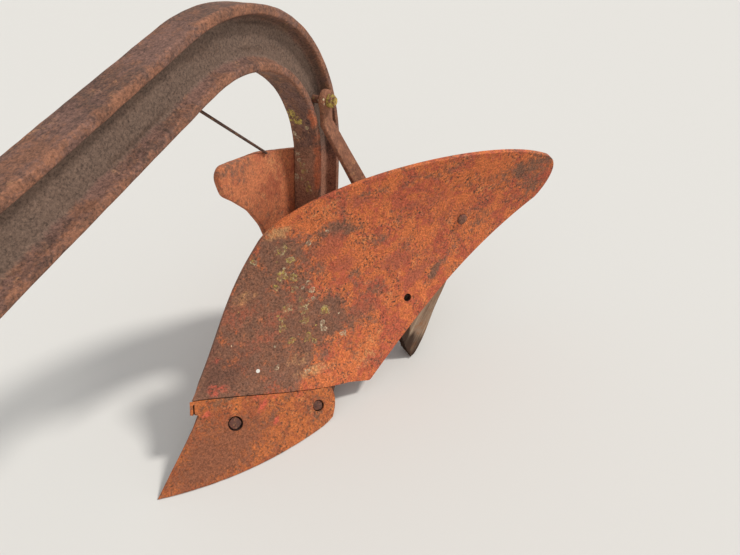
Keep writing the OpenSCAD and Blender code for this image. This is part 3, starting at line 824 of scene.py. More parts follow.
def rust_finish(name, bright, middle, deep, patch, share=0.5, patina="", specks=0.6, contrast=0.8,
                rough=0.86, level=0.0008, masks=(), dots=(), rings=((), ())):
    """Rusted iron. patina names a painted value, masks lists (painted name, colour, softness), dots and
    rings list (place, radius)."""
    if name in bpy.data.materials:
        return bpy.data.materials[name]
    build_groups()
    finish = bpy.context.scene.plough_finish
    sizes = bpy.context.scene.plough_sizes
    material, tree, shader = new_finish(name, 0.3)
    vector = put(tree, "ShaderNodeTexCoord").outputs["Object"]
    grey = mixed(Vector(deep), Vector(finish.web), 0.35)
    coat = group(tree, "Rust coat", {
        "Vector": vector, "Bright": (*bright, 1), "Middle": (*middle, 1), "Dusty": (*finish.ochre, 1),
        "Deep": (*deep, 1), "Grey": (*grey, 1), "Patch Scale": patch, "Grain Scale": 1.0 / sizes.rust_grain,
        "Middle Share": share, "Patina": stored(tree, patina) if patina else 0.0,
        "Specks": specks, "Contrast": contrast})
    colour = coat["Color"]
    for label, tint, soft in masks:
        value = stored(tree, label)
        push = times(tree, times(tree, value, 4.0, True), soft)
        value = calc(tree, "ADD", value, times(tree, coat["Ragged"], push))
        tinted = mix(tree, 1.0, coat["Level"], tint, "MULTIPLY")
        colour = mix(tree, times(tree, span(tree, value, 0.1, 0.9), 0.92), colour, tinted)
    growth = group(tree, "Lichen", {
        "Vector": vector, "Cover": stored(tree, "moss"), "Yellow Ring": ring_field(tree, vector, rings[0]),
        "Pale Ring": ring_field(tree, vector, rings[1]), "Yellow": (*finish.lichen, 1),
        "Pale": (*finish.pale_lichen, 1)})
    colour = mix(tree, times(tree, growth["Mask"], 0.85), colour, growth["Color"])
    height = calc(tree, "ADD", coat["Height"], times(tree, growth["Mask"], 0.6))
    for spot, radius in dots:
        drop = span(tree, distance(tree, vector, spot), radius * 0.85, radius * 1.1, 1, 0)
        colour = mix(tree, drop, colour, tone(226, 222, 212))
    tree.links.new(colour, shader.inputs["Base Color"])
    gloss = span(tree, coat["Grain"], 0.3, 0.7, rough - 0.1, min(1, rough + 0.08))
    tree.links.new(gloss, shader.inputs["Roughness"])
    bump(tree, shader, height, level, 0.7)
    return material


# Pieces
FRONT_STEPS = 96
WIDE_STEPS = 24
ARCH_STEPS = 54
LEG_STEPS = 34


def beam_lie(point):
    """Length from the beam's front end, depth from its outer face, distance from its middle plane."""
    flat = Vector((point.x, point.z))
    across = point.y - BEAM_Y
    out = flat - ARCH_C
    angle = math.degrees(math.atan2(out.y, out.x)) % 360
    if out.x < 0 and angle > LEG_A:
        return LEG_START + out.dot(polar(1, LEAN - 90)), BEND_R - out.dot(polar(1, LEG_A)), across
    if out.x < CROWN_X and angle >= JOIN_A:
        return FRONT_LEN + WIDE_RUN + BEND_R * math.radians(angle - JOIN_A), BEND_R - out.length, across
    out = flat - WIDE_C
    angle = math.degrees(math.atan2(out.y, out.x))
    if angle >= FRONT_A:
        return FRONT_LEN + WIDE_R * math.radians(angle - FRONT_A), WIDE_R - out.length, across
    return FRONT_LEN - out.dot(polar(1, -FALL)), WIDE_R - out.dot(polar(1, FRONT_A)), across


def beam_section(toe):
    """Rolled section as (depth from the outer face, distance from the middle), round from the top."""
    half = BEAM_W / 2
    inner, slope, fillet = 2.2, 3.2, 3.8
    quarter = [Vector((0, w)) for w in (3, 9, 14)]
    for i in range(6):
        bend = polar(toe, 90 - i * 18)
        quarter.append(Vector((toe - bend.y, half - toe + bend.x)))
    for i in range(4):
        bend = polar(inner, i * 30)
        quarter.append(Vector((FLANGE_T - inner + bend.y, half - inner + bend.x)))
    quarter += [Vector((FLANGE_T + 1.4, half - 7)), Vector((FLANGE_T + slope, WEB_T / 2 + fillet))]
    for i in range(1, 5):
        k = i / 4
        quarter.append(Vector((FLANGE_T + slope + 5.6 * k, WEB_T / 2 + fillet * (1 - k) ** 2)))
    quarter += [Vector((FLANGE_T + 14, WEB_T / 2)), Vector((BEAM_D / 2 - 5, WEB_T / 2))]
    right = quarter + [Vector((BEAM_D - q.x, q.y)) for q in reversed(quarter)]
    return right + [Vector((q.x, -q.y)) for q in reversed(right)]


def make_beam(sizes):
    """Gooseneck beam: its section drawn along the front, spun round both bends, then drawn down the leg."""
    ring = []
    for q in beam_section(sizes.toe_round / MM):
        flat = front_at(FRONT_LEN, q.x)
        ring.append(at(flat.x, BEAM_Y + q.y, flat.y))
    piece = start_ring("beam", ring)
    edit(piece, "EDGE")
    draw_on(polar(1, -FALL), -FRONT_LEN, FRONT_STEPS)
    for centre, turn, steps in ((WIDE_C, JOIN_A - FRONT_A, WIDE_STEPS), (ARCH_C, LEG_A - JOIN_A, ARCH_STEPS)):
        bpy.ops.mesh.spin(steps=steps, angle=math.radians(turn), center=at(centre.x, BEAM_Y, centre.y),
                          axis=(0, 1, 0))
    draw_on(polar(1, LEAN - 90), LEG_LEN, LEG_STEPS)
    close_up()
    roughen(piece, sizes.beam_wear, 26, 3)
    return piece


# Clumps on the leg's front face: down the leg, across it, half sizes, turn and strength
BEAM_MOSS = ((-112, -14, 22, 14, 0, 2.0), (-98, -2, 14, 10, 0, 1.0), (-50, -14, 14, 10, 0, 0.4),
             (20, -6, 22, 12, 0, 0.45), (46, 4, 18, 10, 0, 0.4))
# Lichen rings on the leg's front face: down the leg, across it and radius
LEG_YELLOW = ((-84, 8, 3.4), (8, -7, 4.6), (18, -3, 5), (28, -5, 5), (38, 2, 4.8), (44, 4, 4.4), (50, 7, 4.2))
LEG_PALE = ((-14, -18, 5), (28, -17, 4.6), (34, -18, 4.2), (0, -12, 3), (-56, -11, 3.4), (-64, -16, 3.4))


def beam_marks(point):
    """Beam's painted values: web, flange edges, painted crease shadow with dark web streaks, painted light on
    the leg's two open faces, and lichen.
    """
    along, off, across = beam_lie(point)
    leg = along - LEG_START
    depth = BEAM_W / 2 - abs(across)
    web = smooth((off - FLANGE_T - 1) / 8) * smooth((BEAM_D - FLANGE_T - 1 - off) / 8)
    recess = web * smooth((depth - 2) / 8) * (1 - 0.8 * smooth((leg + 60) / 60))
    low = smooth((off - BEAM_D + FLANGE_T) / 6)
    edge = smooth((7 - depth) / 7) * (0.42 + 0.4 * wave(along / 34, off / 30, across / 30) + 0.2 * low)
    # Painted shadow: a dark line along the web next to the outer flange, as if the flange shaded it
    crease_shadow = smooth((3.2 - abs(off - FLANGE_T - 2.4)) / 2) * smooth((depth - 1) / 3)
    streak = wave(along / 120, off / 7, across / 9 + 5) - 0.1
    front = smooth((off - BEAM_D + 3) / 2)
    throw = smooth((off - 3) / 6) * smooth((BEAM_D - 3 - off) / 6) * smooth(across / 3)
    rim = smooth((across - BEAM_W / 2 + 11) / 7) * smooth((off - BEAM_D + FLANGE_T + 3) / 3)
    rim *= smooth((leg + 190) / 70) * (0.55 + 1.1 * wave(along / 26, 4, across / 20))
    # Painted light: the leg's front face is painted lighter further down it, and the leg's throw side lighter
    # below the bend, as if lit there
    return {"recess": recess, "edge": unit(edge), "worn": 0.3 + 0.4 * wave(along / 90, across / 26, 9),
            "under": max(0.55 * crease_shadow, recess * unit(1.9 * streak)),
            "front": 0.85 * front * smooth((leg + 70) / 90), "flush": 0.85 * throw * smooth((leg + 30) / 40),
            "rim": unit(rim), "moss": front * blots(leg, across, BEAM_MOSS)}


def leg_rings(rings):
    """Ring places and radii on the leg's front face, in the frame's metres."""
    placed = []
    for leg, across, radius in rings:
        flat = leg_at(leg, BEAM_D)
        placed.append((at(flat.x, BEAM_Y + across, flat.y), radius * MM))
    return placed


def dress_beam(piece, finish):
    """Paints the beam and gives its rust."""
    paint(piece, beam_marks)
    # Tints: grey web, painted crease shadow over dark web streaks, painted light on the leg's front and throw
    # side, orange flange edges and rim
    masks = (("recess", finish.web, 0.6), ("under", tone(84, 64, 52), 0.6),
             ("front", tone(150, 106, 82), 0.9), ("flush", tone(162, 113, 89), 0.8),
             ("edge", tone(138, 93, 70), 1.2), ("rim", tone(176, 98, 64), 0.9))
    return rust_finish("Beam rust", finish.plum, finish.brown, finish.dark, patch=13, share=0.45,
                       patina="worn", contrast=1.1, masks=masks,
                       rings=(leg_rings(LEG_YELLOW), leg_rings(LEG_PALE)))


# Moldboard's two bores: place and width
MOLD_BORES = ((MOLD_HOLE, 13.4), (MOLD_BOLT, 12.6))


def make_moldboard():
    """Twisted moldboard: a fine grid laid on the working surface, thickened, worn at its rim and bored."""
    piece = start_grid("moldboard", 170, 96)
    for v in piece.data.vertices:
        v.co = at(*face_point(*mold_patch(v.co.x, v.co.y)))

    def back_of(point):
        place = face_lie(point)
        return face_point(*place) - MOLD_T * face_normal(*place)

    thicken(piece, back_of)
    round_edges(piece, 0.0014, 50, 3)
    for place, width in MOLD_BORES:
        drill(piece, place, ((0, -20), (width / 2, -20), (width / 2, -0.9), (width / 2 + 1.6, 2), (0, 2)))
    return piece


# Patches on the working surface: along the level line, height, half sizes, turn and strength
MOLD_SPOTS = {
    "patina": (
        (45, 190, 60, 120, 0, 0.66), (90, 116, 120, 56, 0, 0.6), (230, 92, 70, 40, 0, 0.3),
        (545, 285, 50, 40, 0, 0.3), (112, 262, 52, 34, 0, 0.8), (78, 235, 32, 48, 0, 0.75),
        (112, 196, 62, 48, 0, 0.8), (58, 176, 44, 44, 0, 0.7), (160, 150, 60, 40, 0, 0.7),
        (45, 138, 34, 42, 0, 0.65), (112, 120, 72, 36, 0, 0.8), (96, 96, 90, 30, 0, 0.8),
        (172, 80, 44, 20, 0, 0.7), (215, 150, 40, 30, 0, 0.6), (252, 126, 44, 22, 0, 0.62),
        (190, 276, 38, 15, 0, 0.75), (228, 271, 22, 9, 0, 0.7), (270, 240, 22, 10, 0, 0.66),
        (419, 167, 34, 11, 52, 0.85), (408, 140, 16, 22, 0, 0.6), (250, 199, 22, 15, 0, 0.5),
        (174, 227, 28, 22, 0, 0.5), (412, 300, 40, 10, 0, 0.5), (290, 157, 24, 12, 0, 0.4),
        (515, 302, 60, 20, 10, 0.55), (565, 262, 24, 30, 0, 0.45), (238, 322, 46, 9, 0, 0.5),
        (330, 222, 24, 10, 0, 0.4), (330, 330, 60, 12, 6, 0.5), (480, 225, 30, 14, 40, 0.35)),
    "red": (
        (50, 192, 40, 20, 0, 0.5), (20, 142, 20, 16, 0, 0.55), (92, 142, 44, 16, 0, 0.45),
        (215, 312, 30, 12, 0, 0.7), (180, 252, 32, 22, 20, 0.9), (218, 219, 32, 16, 0, 0.8),
        (316, 192, 40, 18, 0, 0.7), (281, 132, 36, 16, 0, 0.7), (372, 160, 34, 18, 30, 0.8),
        (347, 284, 50, 12, 0, 0.6), (400, 250, 60, 18, 0, 0.5), (120, 170, 40, 14, 0, 0.4)),
    "ochre": (
        (102, 294, 24, 10, 0, 0.8), (205, 75, 36, 7, -6, 0.6), (58, 212, 22, 14, 0, 0.4),
        (177, 96, 36, 11, 0, 0.4), (311, 68, 30, 30, 0, 0.35)),
    "moss": (
        (150, 190, 44, 50, 0, 0.26), (112, 240, 30, 30, 0, 0.24), (180, 130, 44, 30, 0, 0.22),
        (60, 210, 20, 20, 0, 0.16), (196, 78, 20, 14, 0, 0.2)),
    "paint": ((38, 99, 14, 7, -30, 0.6), (56, 96, 16, 5, -20, 0.34), (31, 139, 10, 5, -20, 0.45)),
    "shin": ((56, 120, 36, 30, 0, 0.7), (26, 138, 16, 60, 0, 0.6)),
}
SHARE_SPOTS = {
    "worn": (
        (60, 25, 66, 30, 20, 0.8), (30, 55, 30, 40, 60, 0.45), (120, 12, 70, 10, 0, 0.55),
        (110, 34, 54, 17, 0, 0.5)),
    "scale": (
        (150, 44, 12, 6, 20, 0.5), (168, 56, 10, 7, 0, 0.5), (214, 36, 16, 6, 0, 0.5),
        (240, 22, 12, 6, 0, 0.4), (190, 66, 9, 5, 0, 0.45), (60, 84, 34, 5, 0, 0.6),
        (52, 78, 20, 5, 0, 0.5), (196, 28, 9, 5, 0, 0.4)),
    "paint": (
        (126, 60, 8, 7, -20, 0.9), (114, 73, 9, 5, -20, 0.6), (34, 74, 8, 5, -20, 0.6),
        (157, 38, 5, 5, -20, 0.75), (190, 55, 10, 5, -20, 0.55), (142, 66, 12, 5, -20, 0.5)),
}
WHITE_DROP = (104.6, 102.4)
DROP_R = 3.1
# Lichen rings: along the level line, height and radius
YELLOW_RINGS = (
    (106, 266, 8.6), (122, 248, 6.2), (64, 261, 4.6), (112, 228, 7.8), (135, 220, 6.3), (106, 213, 4.8),
    (137, 202, 4.4), (153, 183, 3.9), (132, 175, 7.6), (159, 168, 7.8), (201, 154, 6.9), (124, 164, 5),
    (130, 151, 6.8), (168, 150, 6.9), (151, 128, 5.6), (180, 122, 6.9), (196, 114, 4.6))
PALE_RINGS = (
    (149, 268, 4), (159, 205, 3.8), (169, 192, 4.6), (175, 177, 4.6), (164, 180, 3.6), (201, 136, 5.2),
    (207, 127, 4.4), (250, 108, 5.4), (137, 96, 5), (196, 77, 4.2), (177, 278, 2), (151, 201, 2.8),
    (124, 127, 1.6), (49, 151, 1.6))


def face_marks(spots, seats):
    """Rule for named patches on the working surface, and for painted shade on the walls of holes in it:
    places and radii.
    """
    middles = [(face_point(*place), face_normal(*place), radius) for place, radius in seats]

    def rule(point):
        marks = {name: blots(*face_lie(point), patches) for name, patches in spots.items()}
        # Painted shade: points sunk inside a hole or the crack are darkened towards near black
        marks["sunk"] = 0.0
        for middle, out, radius in middles:
            away = point - middle
            depth = -away.dot(out)
            if (away + out * depth).length < radius:
                marks["sunk"] = max(marks["sunk"], smooth((depth - 0.1) / 0.8))
        return marks

    return rule


def placed_rings(rings):
    """Ring places and radii in the frame's metres."""
    return [(at(*face_point(t, z)), radius * MM) for t, z, radius in rings]


def dress_moldboard(piece, finish):
    """Paints the brown patina, the red and ochre patches, lichen and old paint of the moldboard, and painted
    shade in its open bore.
    """
    paint(piece, face_marks(MOLD_SPOTS, ((MOLD_HOLE, 8.0),)))
    red = mixed(Vector(finish.red_rust), Vector(finish.brown), 0.35)
    masks = (("red", red, 0.9), ("ochre", finish.ochre, 0.7), ("shin", tone(104, 70, 56), 0.8),
             ("paint", finish.paint, 0.9), ("sunk", PAINTED_SHADE_BLACK, 0.0))
    return rust_finish("Moldboard rust", finish.orange, finish.red_rust, finish.brown, patch=24, share=0.42,
                       patina="patina", specks=1.0, contrast=1.15, masks=masks,
                       dots=((at(*face_point(*WHITE_DROP)), DROP_R * MM),),
                       rings=(placed_rings(YELLOW_RINGS), placed_rings(PALE_RINGS)))


# Share bolts' worn seats: place and radius
SEATS = ((SHARE_BOLT_A, 11.4), (SHARE_BOLT_B, 9.6))
LIP_CRACK = (12, 84)
# Place and radius of the painted shade inside the lip's crack
CRACK_SHADE = ((11, 86), 12.0)


def make_share(sizes):
    """Share: a grid on the same surface, thin at its cutting edge, with sunk bolt seats and a cracked lip."""
    piece = start_grid("share", 120, 64)
    for v in piece.data.vertices:
        q = share_patch(v.co.x, v.co.y)
        bite = wave(q.x / 16, 0, 3) * 0.5 * smooth(1 - v.co.y * 8)
        v.co = at(*face_point(q.x, q.y + max(0, bite)))
    low, high = SHARE_SIDE[0].y, SHARE_SIDE[-1].y

    def back_of(point):
        t, z = face_lie(point)
        depth = mixed(EDGE_T, SHARE_T, min(1, 2.5 * max(0, z - low) / (high - low) * (1 + t / 280)))
        return point - depth * face_normal(t, z)

    thicken(piece, back_of)
    round_edges(piece, 0.0009, 50)
    for place, width in SEATS:
        drill(piece, place, ((0, -20), (6.4, -20), (6.4, -7), (width - 1, -5), (width, 0), (width + 0.6, 2),
                             (0, 2)))
    crack = start_block("crack")
    crack.data.transform(face_frame(*LIP_CRACK) @ turn_by(-14, "Z")
                         @ Matrix.Diagonal((sizes.crack_gap, 0.019, 0.011, 1)))
    carve(piece, crack)
    return piece


def dress_share(piece, finish):
    """Paints the scoured nose, the dark scale and the old paint of the share, and painted shade in its bolt
    seats and crack.
    """
    paint(piece, face_marks(SHARE_SPOTS, (*SEATS, CRACK_SHADE)))
    masks = (("worn", tone(131, 80, 56), 1.0), ("paint", finish.paint, 0.9), ("sunk", PAINTED_SHADE_BLACK, 0.0))
    return rust_finish("Share rust", tone(184, 102, 54), tone(154, 82, 50), tone(116, 80, 58), patch=34,
                       share=0.46, patina="scale", specks=0.9, contrast=1.05, masks=masks)


# Side plate outline in the side plane, as the frame has it
HORN_Z = 405
HORN_R = 15
HORN_C = Vector((-262, HORN_Z - HORN_R))
PLATE_REAR = leg_at(0, 0).x - 12
PLATE_CORNERS = ((-345, HORN_Z - 16), (-429, HORN_Z - 46), (PLATE_REAR, HORN_Z - 76), (PLATE_REAR + 12, 14),
                 (-190, 14), (-178, 60), (-236, 130), (-300, 196), (-333, 240), (-322, 278), (-300, 316),
                 (-272, 346), (-252, 364))


def walk(corners, step):
    """Closed outline through the corners with a point every few millimetres."""
    points = []
    for a, b in zip(corners, corners[1:] + corners[:1]):
        count = max(1, round((b - a).length / step))
        points += [mixed(a, b, i / count) for i in range(count)]
    return points


def eased(outline):
    """Closed outline with each point drawn half way to the middle of its neighbours."""
    after = outline[1:] + outline[:1]
    return [mixed(p, (outline[i - 1] + after[i]) / 2, 0.5) for i, p in enumerate(outline)]


def make_side_plate(sizes):
    """Side plate with its standing horn, its edge eaten a little by rust."""
    horn = [HORN_C + polar(HORN_R, a) for a in range(-11, 102, 14)]
    outline = walk(horn + [Vector(p) for p in PLATE_CORNERS], 4)
    outline = eased(eased(eased(outline)))
    outline = [p + Vector((1, 1)) * 0.6 * wave(p.x / 12, p.y / 12, 5) for p in outline]
    piece = start_ring("side_plate", [at(p.x, BAR_T, p.y) for p in outline])
    edit(piece, "EDGE")
    bpy.ops.mesh.edge_face_add()
    bpy.ops.mesh.extrude_region_move(TRANSFORM_OT_translate={"value": (0, BAR_T * MM, 0)})
    face_out()
    round_edges(piece, sizes.plate_round, 50)
    return piece


def plate_marks(point):
    """Darker brown along the side plate's top edge and towards its lower part."""
    top = smooth((point.x + 480) / 60) * smooth((point.z - HORN_Z + 30) / 26)
    return {"dull": min(1, 0.5 * top + 0.55 * smooth((250 - point.z) / 140))}


# Flat brace and wooden foot, laid out from the moldboard's two bolt places
BRACE_W = 29
BRACE_T = 8
BRACE_MID = 4.5
BRACE_ROUND = 2.2
BRACE_LEAN = 4
BRACE_STATIONS = 40
KNEE_RUN = 34
HEEL_RUN = 38
EYE_MORE = 1.8
WOOD_D = 30
WOOD_W = 84
WOOD_BACK = MOLD_T + 1 + WOOD_D
STUB_UP = 69
STUB_DOWN = 265.5
STUB_TURN = 10
STUB_CUT = 44
STUB_LOW = 4.5
bolt_spot = face_point(*MOLD_BOLT)
hole_spot = face_point(*MOLD_HOLE)
hole_normal = face_normal(*MOLD_HOLE)
wood_x = (bolt_spot - hole_spot).normalized()
wood_n = (hole_normal - hole_normal.dot(wood_x) * wood_x).normalized()
stub_frame = axes_at(bolt_spot, wood_x, wood_n.cross(wood_x), wood_n) @ turn_by(STUB_TURN, "Z")


def brace_frames():
    """Stations down the brace: X its width, Y its thickness, Z its run."""
    throw = Vector((0, 1, 0))
    top = Vector((BRACE_PT.x, THROW_FACE + SEAT + BRACE_MID, BRACE_PT.y))
    low = hole_spot - wood_n * (WOOD_BACK + SEAT + BRACE_MID)
    lean = math.radians(BRACE_LEAN)
    knee = top + KNEE_RUN * Vector((math.sin(lean), 0, -math.cos(lean)))
    heel = low + HEEL_RUN * wood_x
    path = (top, knee, heel, low)
    runs = [(b - a).normalized() for a, b in zip(path, path[1:])]
    stations = [(top, throw, runs[0]), (mixed(top, knee, 0.5), throw, runs[0])]
    for i in range(BRACE_STATIONS + 1):
        k = i / BRACE_STATIONS
        run = mixed(runs[0], runs[1], smooth(0.5 + k * 7))
        if k >= 0.5:
            run = mixed(runs[1], runs[2], smooth((k - 0.93) * 7))
        stations.append((mixed(knee, heel, k), mixed(throw, wood_n, smooth(k)), run.normalized()))
    stations += [(mixed(heel, low, 0.5), wood_n, runs[2]), (low, wood_n, runs[2])]
    frames = []
    for spot, thick, run in stations:
        thick = (thick - thick.dot(run) * run).normalized()
        frames.append(axes_at(spot, thick.cross(run), thick, run))
    return frames


def rounded_bar(width, depth, corner):
    """Ring of a flat bar's section with round corners, in metres."""
    ring = []
    for sx, sy, start in ((1, 1, 0), (-1, 1, 90), (-1, -1, 180), (1, -1, 270)):
        for i in range(4):
            bend = polar(corner, start + i * 30)
            x, y = sx * (width / 2 - corner) + bend.x, sy * (depth / 2 - corner) + bend.y
            ring.append(Vector((x, y, 0)) * MM)
    return ring


def make_brace():
    """Flat strap twisted from the beam's side to the back of the handle, with a round eye at each end."""
    frames = brace_frames()
    piece = start_ring("brace", [frames[0] @ p for p in rounded_bar(BRACE_W, BRACE_T, BRACE_ROUND)])
    edit(piece, "EDGE")
    sweep(piece, frames)
    close_up()
    r, h = BRACE_W / 2 + EYE_MORE, BRACE_MID
    rim = ((0, -h), (r - 2, -h), (r - 0.6, -h + 0.6), (r, -h + 2), (r, h - 2), (r - 0.6, h - 0.6),
           (r - 2, h), (0, h))
    for matrix in (frames[0], frames[-1]):
        eye = turned("eye", rim, 56)
        eye.data.transform(matrix @ turn_by(90, "X"))
        carve(piece, eye, "UNION")
    return piece


def behind_moldboard(point):
    """Point pushed back until it clears the moldboard's back."""
    for i in range(2):
        place = face_lie(point)
        n = face_normal(*place)
        point = point - n * max(0, (point - face_point(*place)).dot(n) + MOLD_T + 2 * SEAT)
    return point


def make_handle_stub(sizes):
    """Weathered foot of the handle: grooved along its grain, split and rotted at its lower end."""
    piece = start_block("handle_stub")
    edit(piece)
    bpy.ops.mesh.subdivide(number_cuts=47)
    leave()
    groove_depth = sizes.grain_depth / MM
    slant = WOOD_W / math.tan(math.radians(STUB_CUT))
    for v in piece.data.vertices:
        up, side, deep = v.co.x + 0.5, v.co.y, v.co.z
        splinter = 9 * wave(side * 22, deep * 9, 2) + 5 * wave(side * 50, deep * 22, 7)
        run = mixed(-STUB_DOWN + slant * (0.5 + side) * 0.82 - 2 + abs(splinter), STUB_UP, up)
        wider = (7 * smooth((-run - 145) / 80) - 3 * smooth((-run - 235) / 40)) * (0.5 - side)
        groove = wave(side * 26, deep * 10, run / 90)
        hollow = abs(wave(side * 11, deep * 5, run / 140 + 4))
        worn = 1 - 0.04 * smooth((abs(side) - 0.4) * 10) * smooth((abs(deep) - 0.3) * 5)
        at_side, at_face = smooth((abs(side) - 0.45) * 20), smooth((abs(deep) - 0.45) * 20)
        across = side * (WOOD_W - 0.4) * worn - wider
        across -= math.copysign(groove_depth * (0.6 + groove), side) * at_side
        height = deep * (WOOD_D - 1) * worn - WOOD_BACK + WOOD_D / 2
        height -= math.copysign(groove_depth * (0.5 + groove - 0.8 * hollow), deep) * at_face
        point = behind_moldboard(plough_mm(stub_frame @ (Vector((run, across, height)) * MM)))
        v.co = at(point.x, point.y, max(point.z, STUB_LOW))
    edit(piece)
    face_out()
    return piece


def dress_stub(piece):
    """Stores the grain's own directions, the rotten end, and painted shade where the moldboard's open bore
    shows the wood.
    """
    back = stub_frame.inverted()
    layer = piece.data.attributes.new("grain", "FLOAT_VECTOR", "POINT")
    for v, item in zip(piece.data.vertices, layer.data):
        item.vector = back @ v.co

    def decay_and_bore_shade_mark(point):
        local = back @ at(*point) / MM
        low = smooth((-local.x - 182) / 50) * (0.68 + 0.32 * smooth((local.y + 30) / 40))
        # Painted shade: the wood round the open bore's axis is darkened as the shadow seen through the hole
        away = point - hole_spot
        hole = (away - hole_normal * away.dot(hole_normal)).length
        return {"rot": max(low, 1.6 * smooth((17 - hole) / 8))}

    paint(piece, decay_and_bore_shade_mark)


def wood_finish(finish):
    """Weathered wood: grooves along the grain, brown stains, a rotten end, and painted shade where the
    moldboard's open bore shows it.
    """
    material, tree, shader = new_finish("Weathered wood", 0.2)
    along = stored(tree, "grain", "Vector")
    fibre = cloud(tree, stretch(tree, along, (14, 300, 240)), 1.0, 6, 0.7)
    band = cloud(tree, stretch(tree, along, (9, 70, 50)), 1.0, 4, 0.6)
    stain = span(tree, cloud(tree, along, 34, 5, 0.7), 0.47, 0.62)
    colour = mix(tree, span(tree, band, 0.35, 0.7), finish.wood, tone(124, 98, 78))
    colour = mix(tree, times(tree, stain, 0.6), colour, tone(142, 92, 56))
    colour = mix(tree, span(tree, fibre, 0.53, 0.68, 0, 0.8), colour, tone(74, 58, 46))
    colour = mix(tree, span(tree, fibre, 0.32, 0.42, 0.55, 0), colour, tone(188, 168, 140))
    rot = span(tree, lean_to(tree, stored(tree, "rot"), ((band, 0.9),)), 0.35, 0.65)
    colour = mix(tree, times(tree, rot, 0.9), colour, finish.rot)
    tree.links.new(colour, shader.inputs["Base Color"])
    tree.links.new(span(tree, fibre, 0.3, 0.7, 0.8, 0.98), shader.inputs["Roughness"])
    bump(tree, shader, calc(tree, "ADD", fibre, band), 0.0012, 0.8)
    return material


# Bolts
SHANK_R = 6
NUT_W = 19
SHARE_NUT_W = 17
SHARE_NUT_T = 8
FROG_T = 10


def shank(low, high):
    """Plain shank on Z with its end rounded off."""
    return turned("shank", ((0, low), (SHANK_R - 1, low), (SHANK_R, low + 1), (SHANK_R, high), (0, high)))


def make_share_bolt(name, place, half, turn, sizes):
    """Square-necked plough bolt sunk in its seat, its nut behind the frog."""
    head = start_cylinder(name, 40, half, -6.1, -2.1)
    for v in head.data.vertices:
        a = math.atan2(v.co.y, v.co.x)
        square = min(1.12, (abs(math.cos(a)) ** 3.2 + abs(math.sin(a)) ** 3.2) ** (-1 / 3.2))
        v.co.x *= square
        v.co.y *= square
    round_edges(head, 0.0011, 50, 3)
    roughen(head, 0.0004, 5, 9)
    off_centre = Vector((-0.0005, 0.0007, 0))
    head.data.transform(Matrix.Translation(off_centre) @ turn_by(turn, "Z"))
    grip = SHARE_T + FROG_T + 5 * SEAT
    nut = hexagon(name, SHARE_NUT_W, -grip - SHARE_NUT_T, -grip, sizes.bolt_round)
    piece = join([head, shank(-grip - SHARE_NUT_T - 1, -4.5), nut], name)
    piece.data.transform(face_frame(*place))
    return piece


def make_moldboard_bolt(sizes):
    """Round-headed bolt through moldboard and handle, worn flat on top."""
    back = -WOOD_BACK - SEAT
    head = turned("head", ((0, 0.6), (8.6, 0.6), (9.1, 1.4), (8.9, 2.7), (7.9, 3.9), (5.6, 4.7), (2.5, 5.0),
                           (0, 5.05)))
    nut = hexagon("nut", NUT_W, back - 9, back, sizes.bolt_round)
    piece = join([head, shank(back - 11.5, 1), nut], "moldboard_bolt")
    piece.data.transform(face_frame(*MOLD_BOLT))
    roughen(piece, 0.00035, 6, 4)
    return piece


def make_brace_bolt(sizes):
    """Bolt of the brace's upper eye, its big worn nut on the throw side."""
    low = BEAM_Y - WEB_T / 2 - 9 - SEAT
    run = THROW_FACE + 2 * BRACE_MID + 2 * SEAT + 12 - low
    head = hexagon("head", NUT_W, 0.2, 9, sizes.bolt_round)
    nut = hexagon("nut", NUT_W, run - 12, run - 3, 0.002)
    piece = join([shank(0, run), head, nut], "brace_bolt")
    spot = Vector((BRACE_PT.x, low, BRACE_PT.y))
    piece.data.transform(axes_at(spot, Vector((1, 0, 0)), Vector((0, 0, -1)), Vector((0, 1, 0))))
    roughen(piece, 0.0003, 6, 6)
    return piece


# Draught hook, hung from its pin
HOOK_HOLE = -2
HOLE_PITCH = 26
HOOK_LEN = 88
BOWL_R = 16
BOWL_C = Vector((2, -HOOK_LEN))
BOWL_STEPS = 36
EYE_R = 8.1
HAKE_AHEAD = 52
HAKE_C = front_at(FRONT_LEN + HAKE_AHEAD, BEAM_D / 2)
HOLES_AHEAD = 18
PIN_SPOT = HAKE_C + HOLES_AHEAD * polar(1, -FALL) + HOOK_HOLE * HOLE_PITCH * polar(1, 90 - FALL)
# The hook's shank: place from the eye, half width and half thickness
HOOK_SHANK = ((0, -12, 6.5, 4.7), (0, -24, 6.5, 4.8), (0, 50 - HOOK_LEN, 6.6, 4.9),
              (-2.5, 38 - HOOK_LEN, 6.6, 4.9), (-8, 26 - HOOK_LEN, 6.5, 4.9))


def oval(count):
    """Cosine and sine round a squarish oval."""
    out = []
    for i in range(count):
        a = 2 * math.pi * i / count
        out.append([math.copysign(abs(value) ** 0.8, value) for value in (math.cos(a), math.sin(a))])
    return out


def hook_rings():
    """Rings down the hook's shank and round its bowl to the point."""
    path = [(Vector((x, y)), wide, thick) for x, y, wide, thick in HOOK_SHANK]
    for i in range(BOWL_STEPS + 1):
        k = i / BOWL_STEPS
        half = mixed(6.5, 4.2, smooth((k - 0.55) / 0.45))
        path.append((BOWL_C + polar(BOWL_R + half, mixed(145, 352, k)), half, half * 0.75))
    path.append((BOWL_C + polar(BOWL_R + 4, 355.5), 2.6, 2.0))
    spots = [station[0] for station in path]
    rings = []
    for before, after, (spot, wide, thick) in zip(spots[:1] + spots, spots[1:] + spots[-1:], path):
        run = (after - before).normalized()
        side = Vector((run.y, -run.x, 0)) * wide
        up = Vector((0, 0, thick))
        rings.append([(spot.to_3d() + side * c + up * s) * MM for c, s in oval(20)])
    return rings


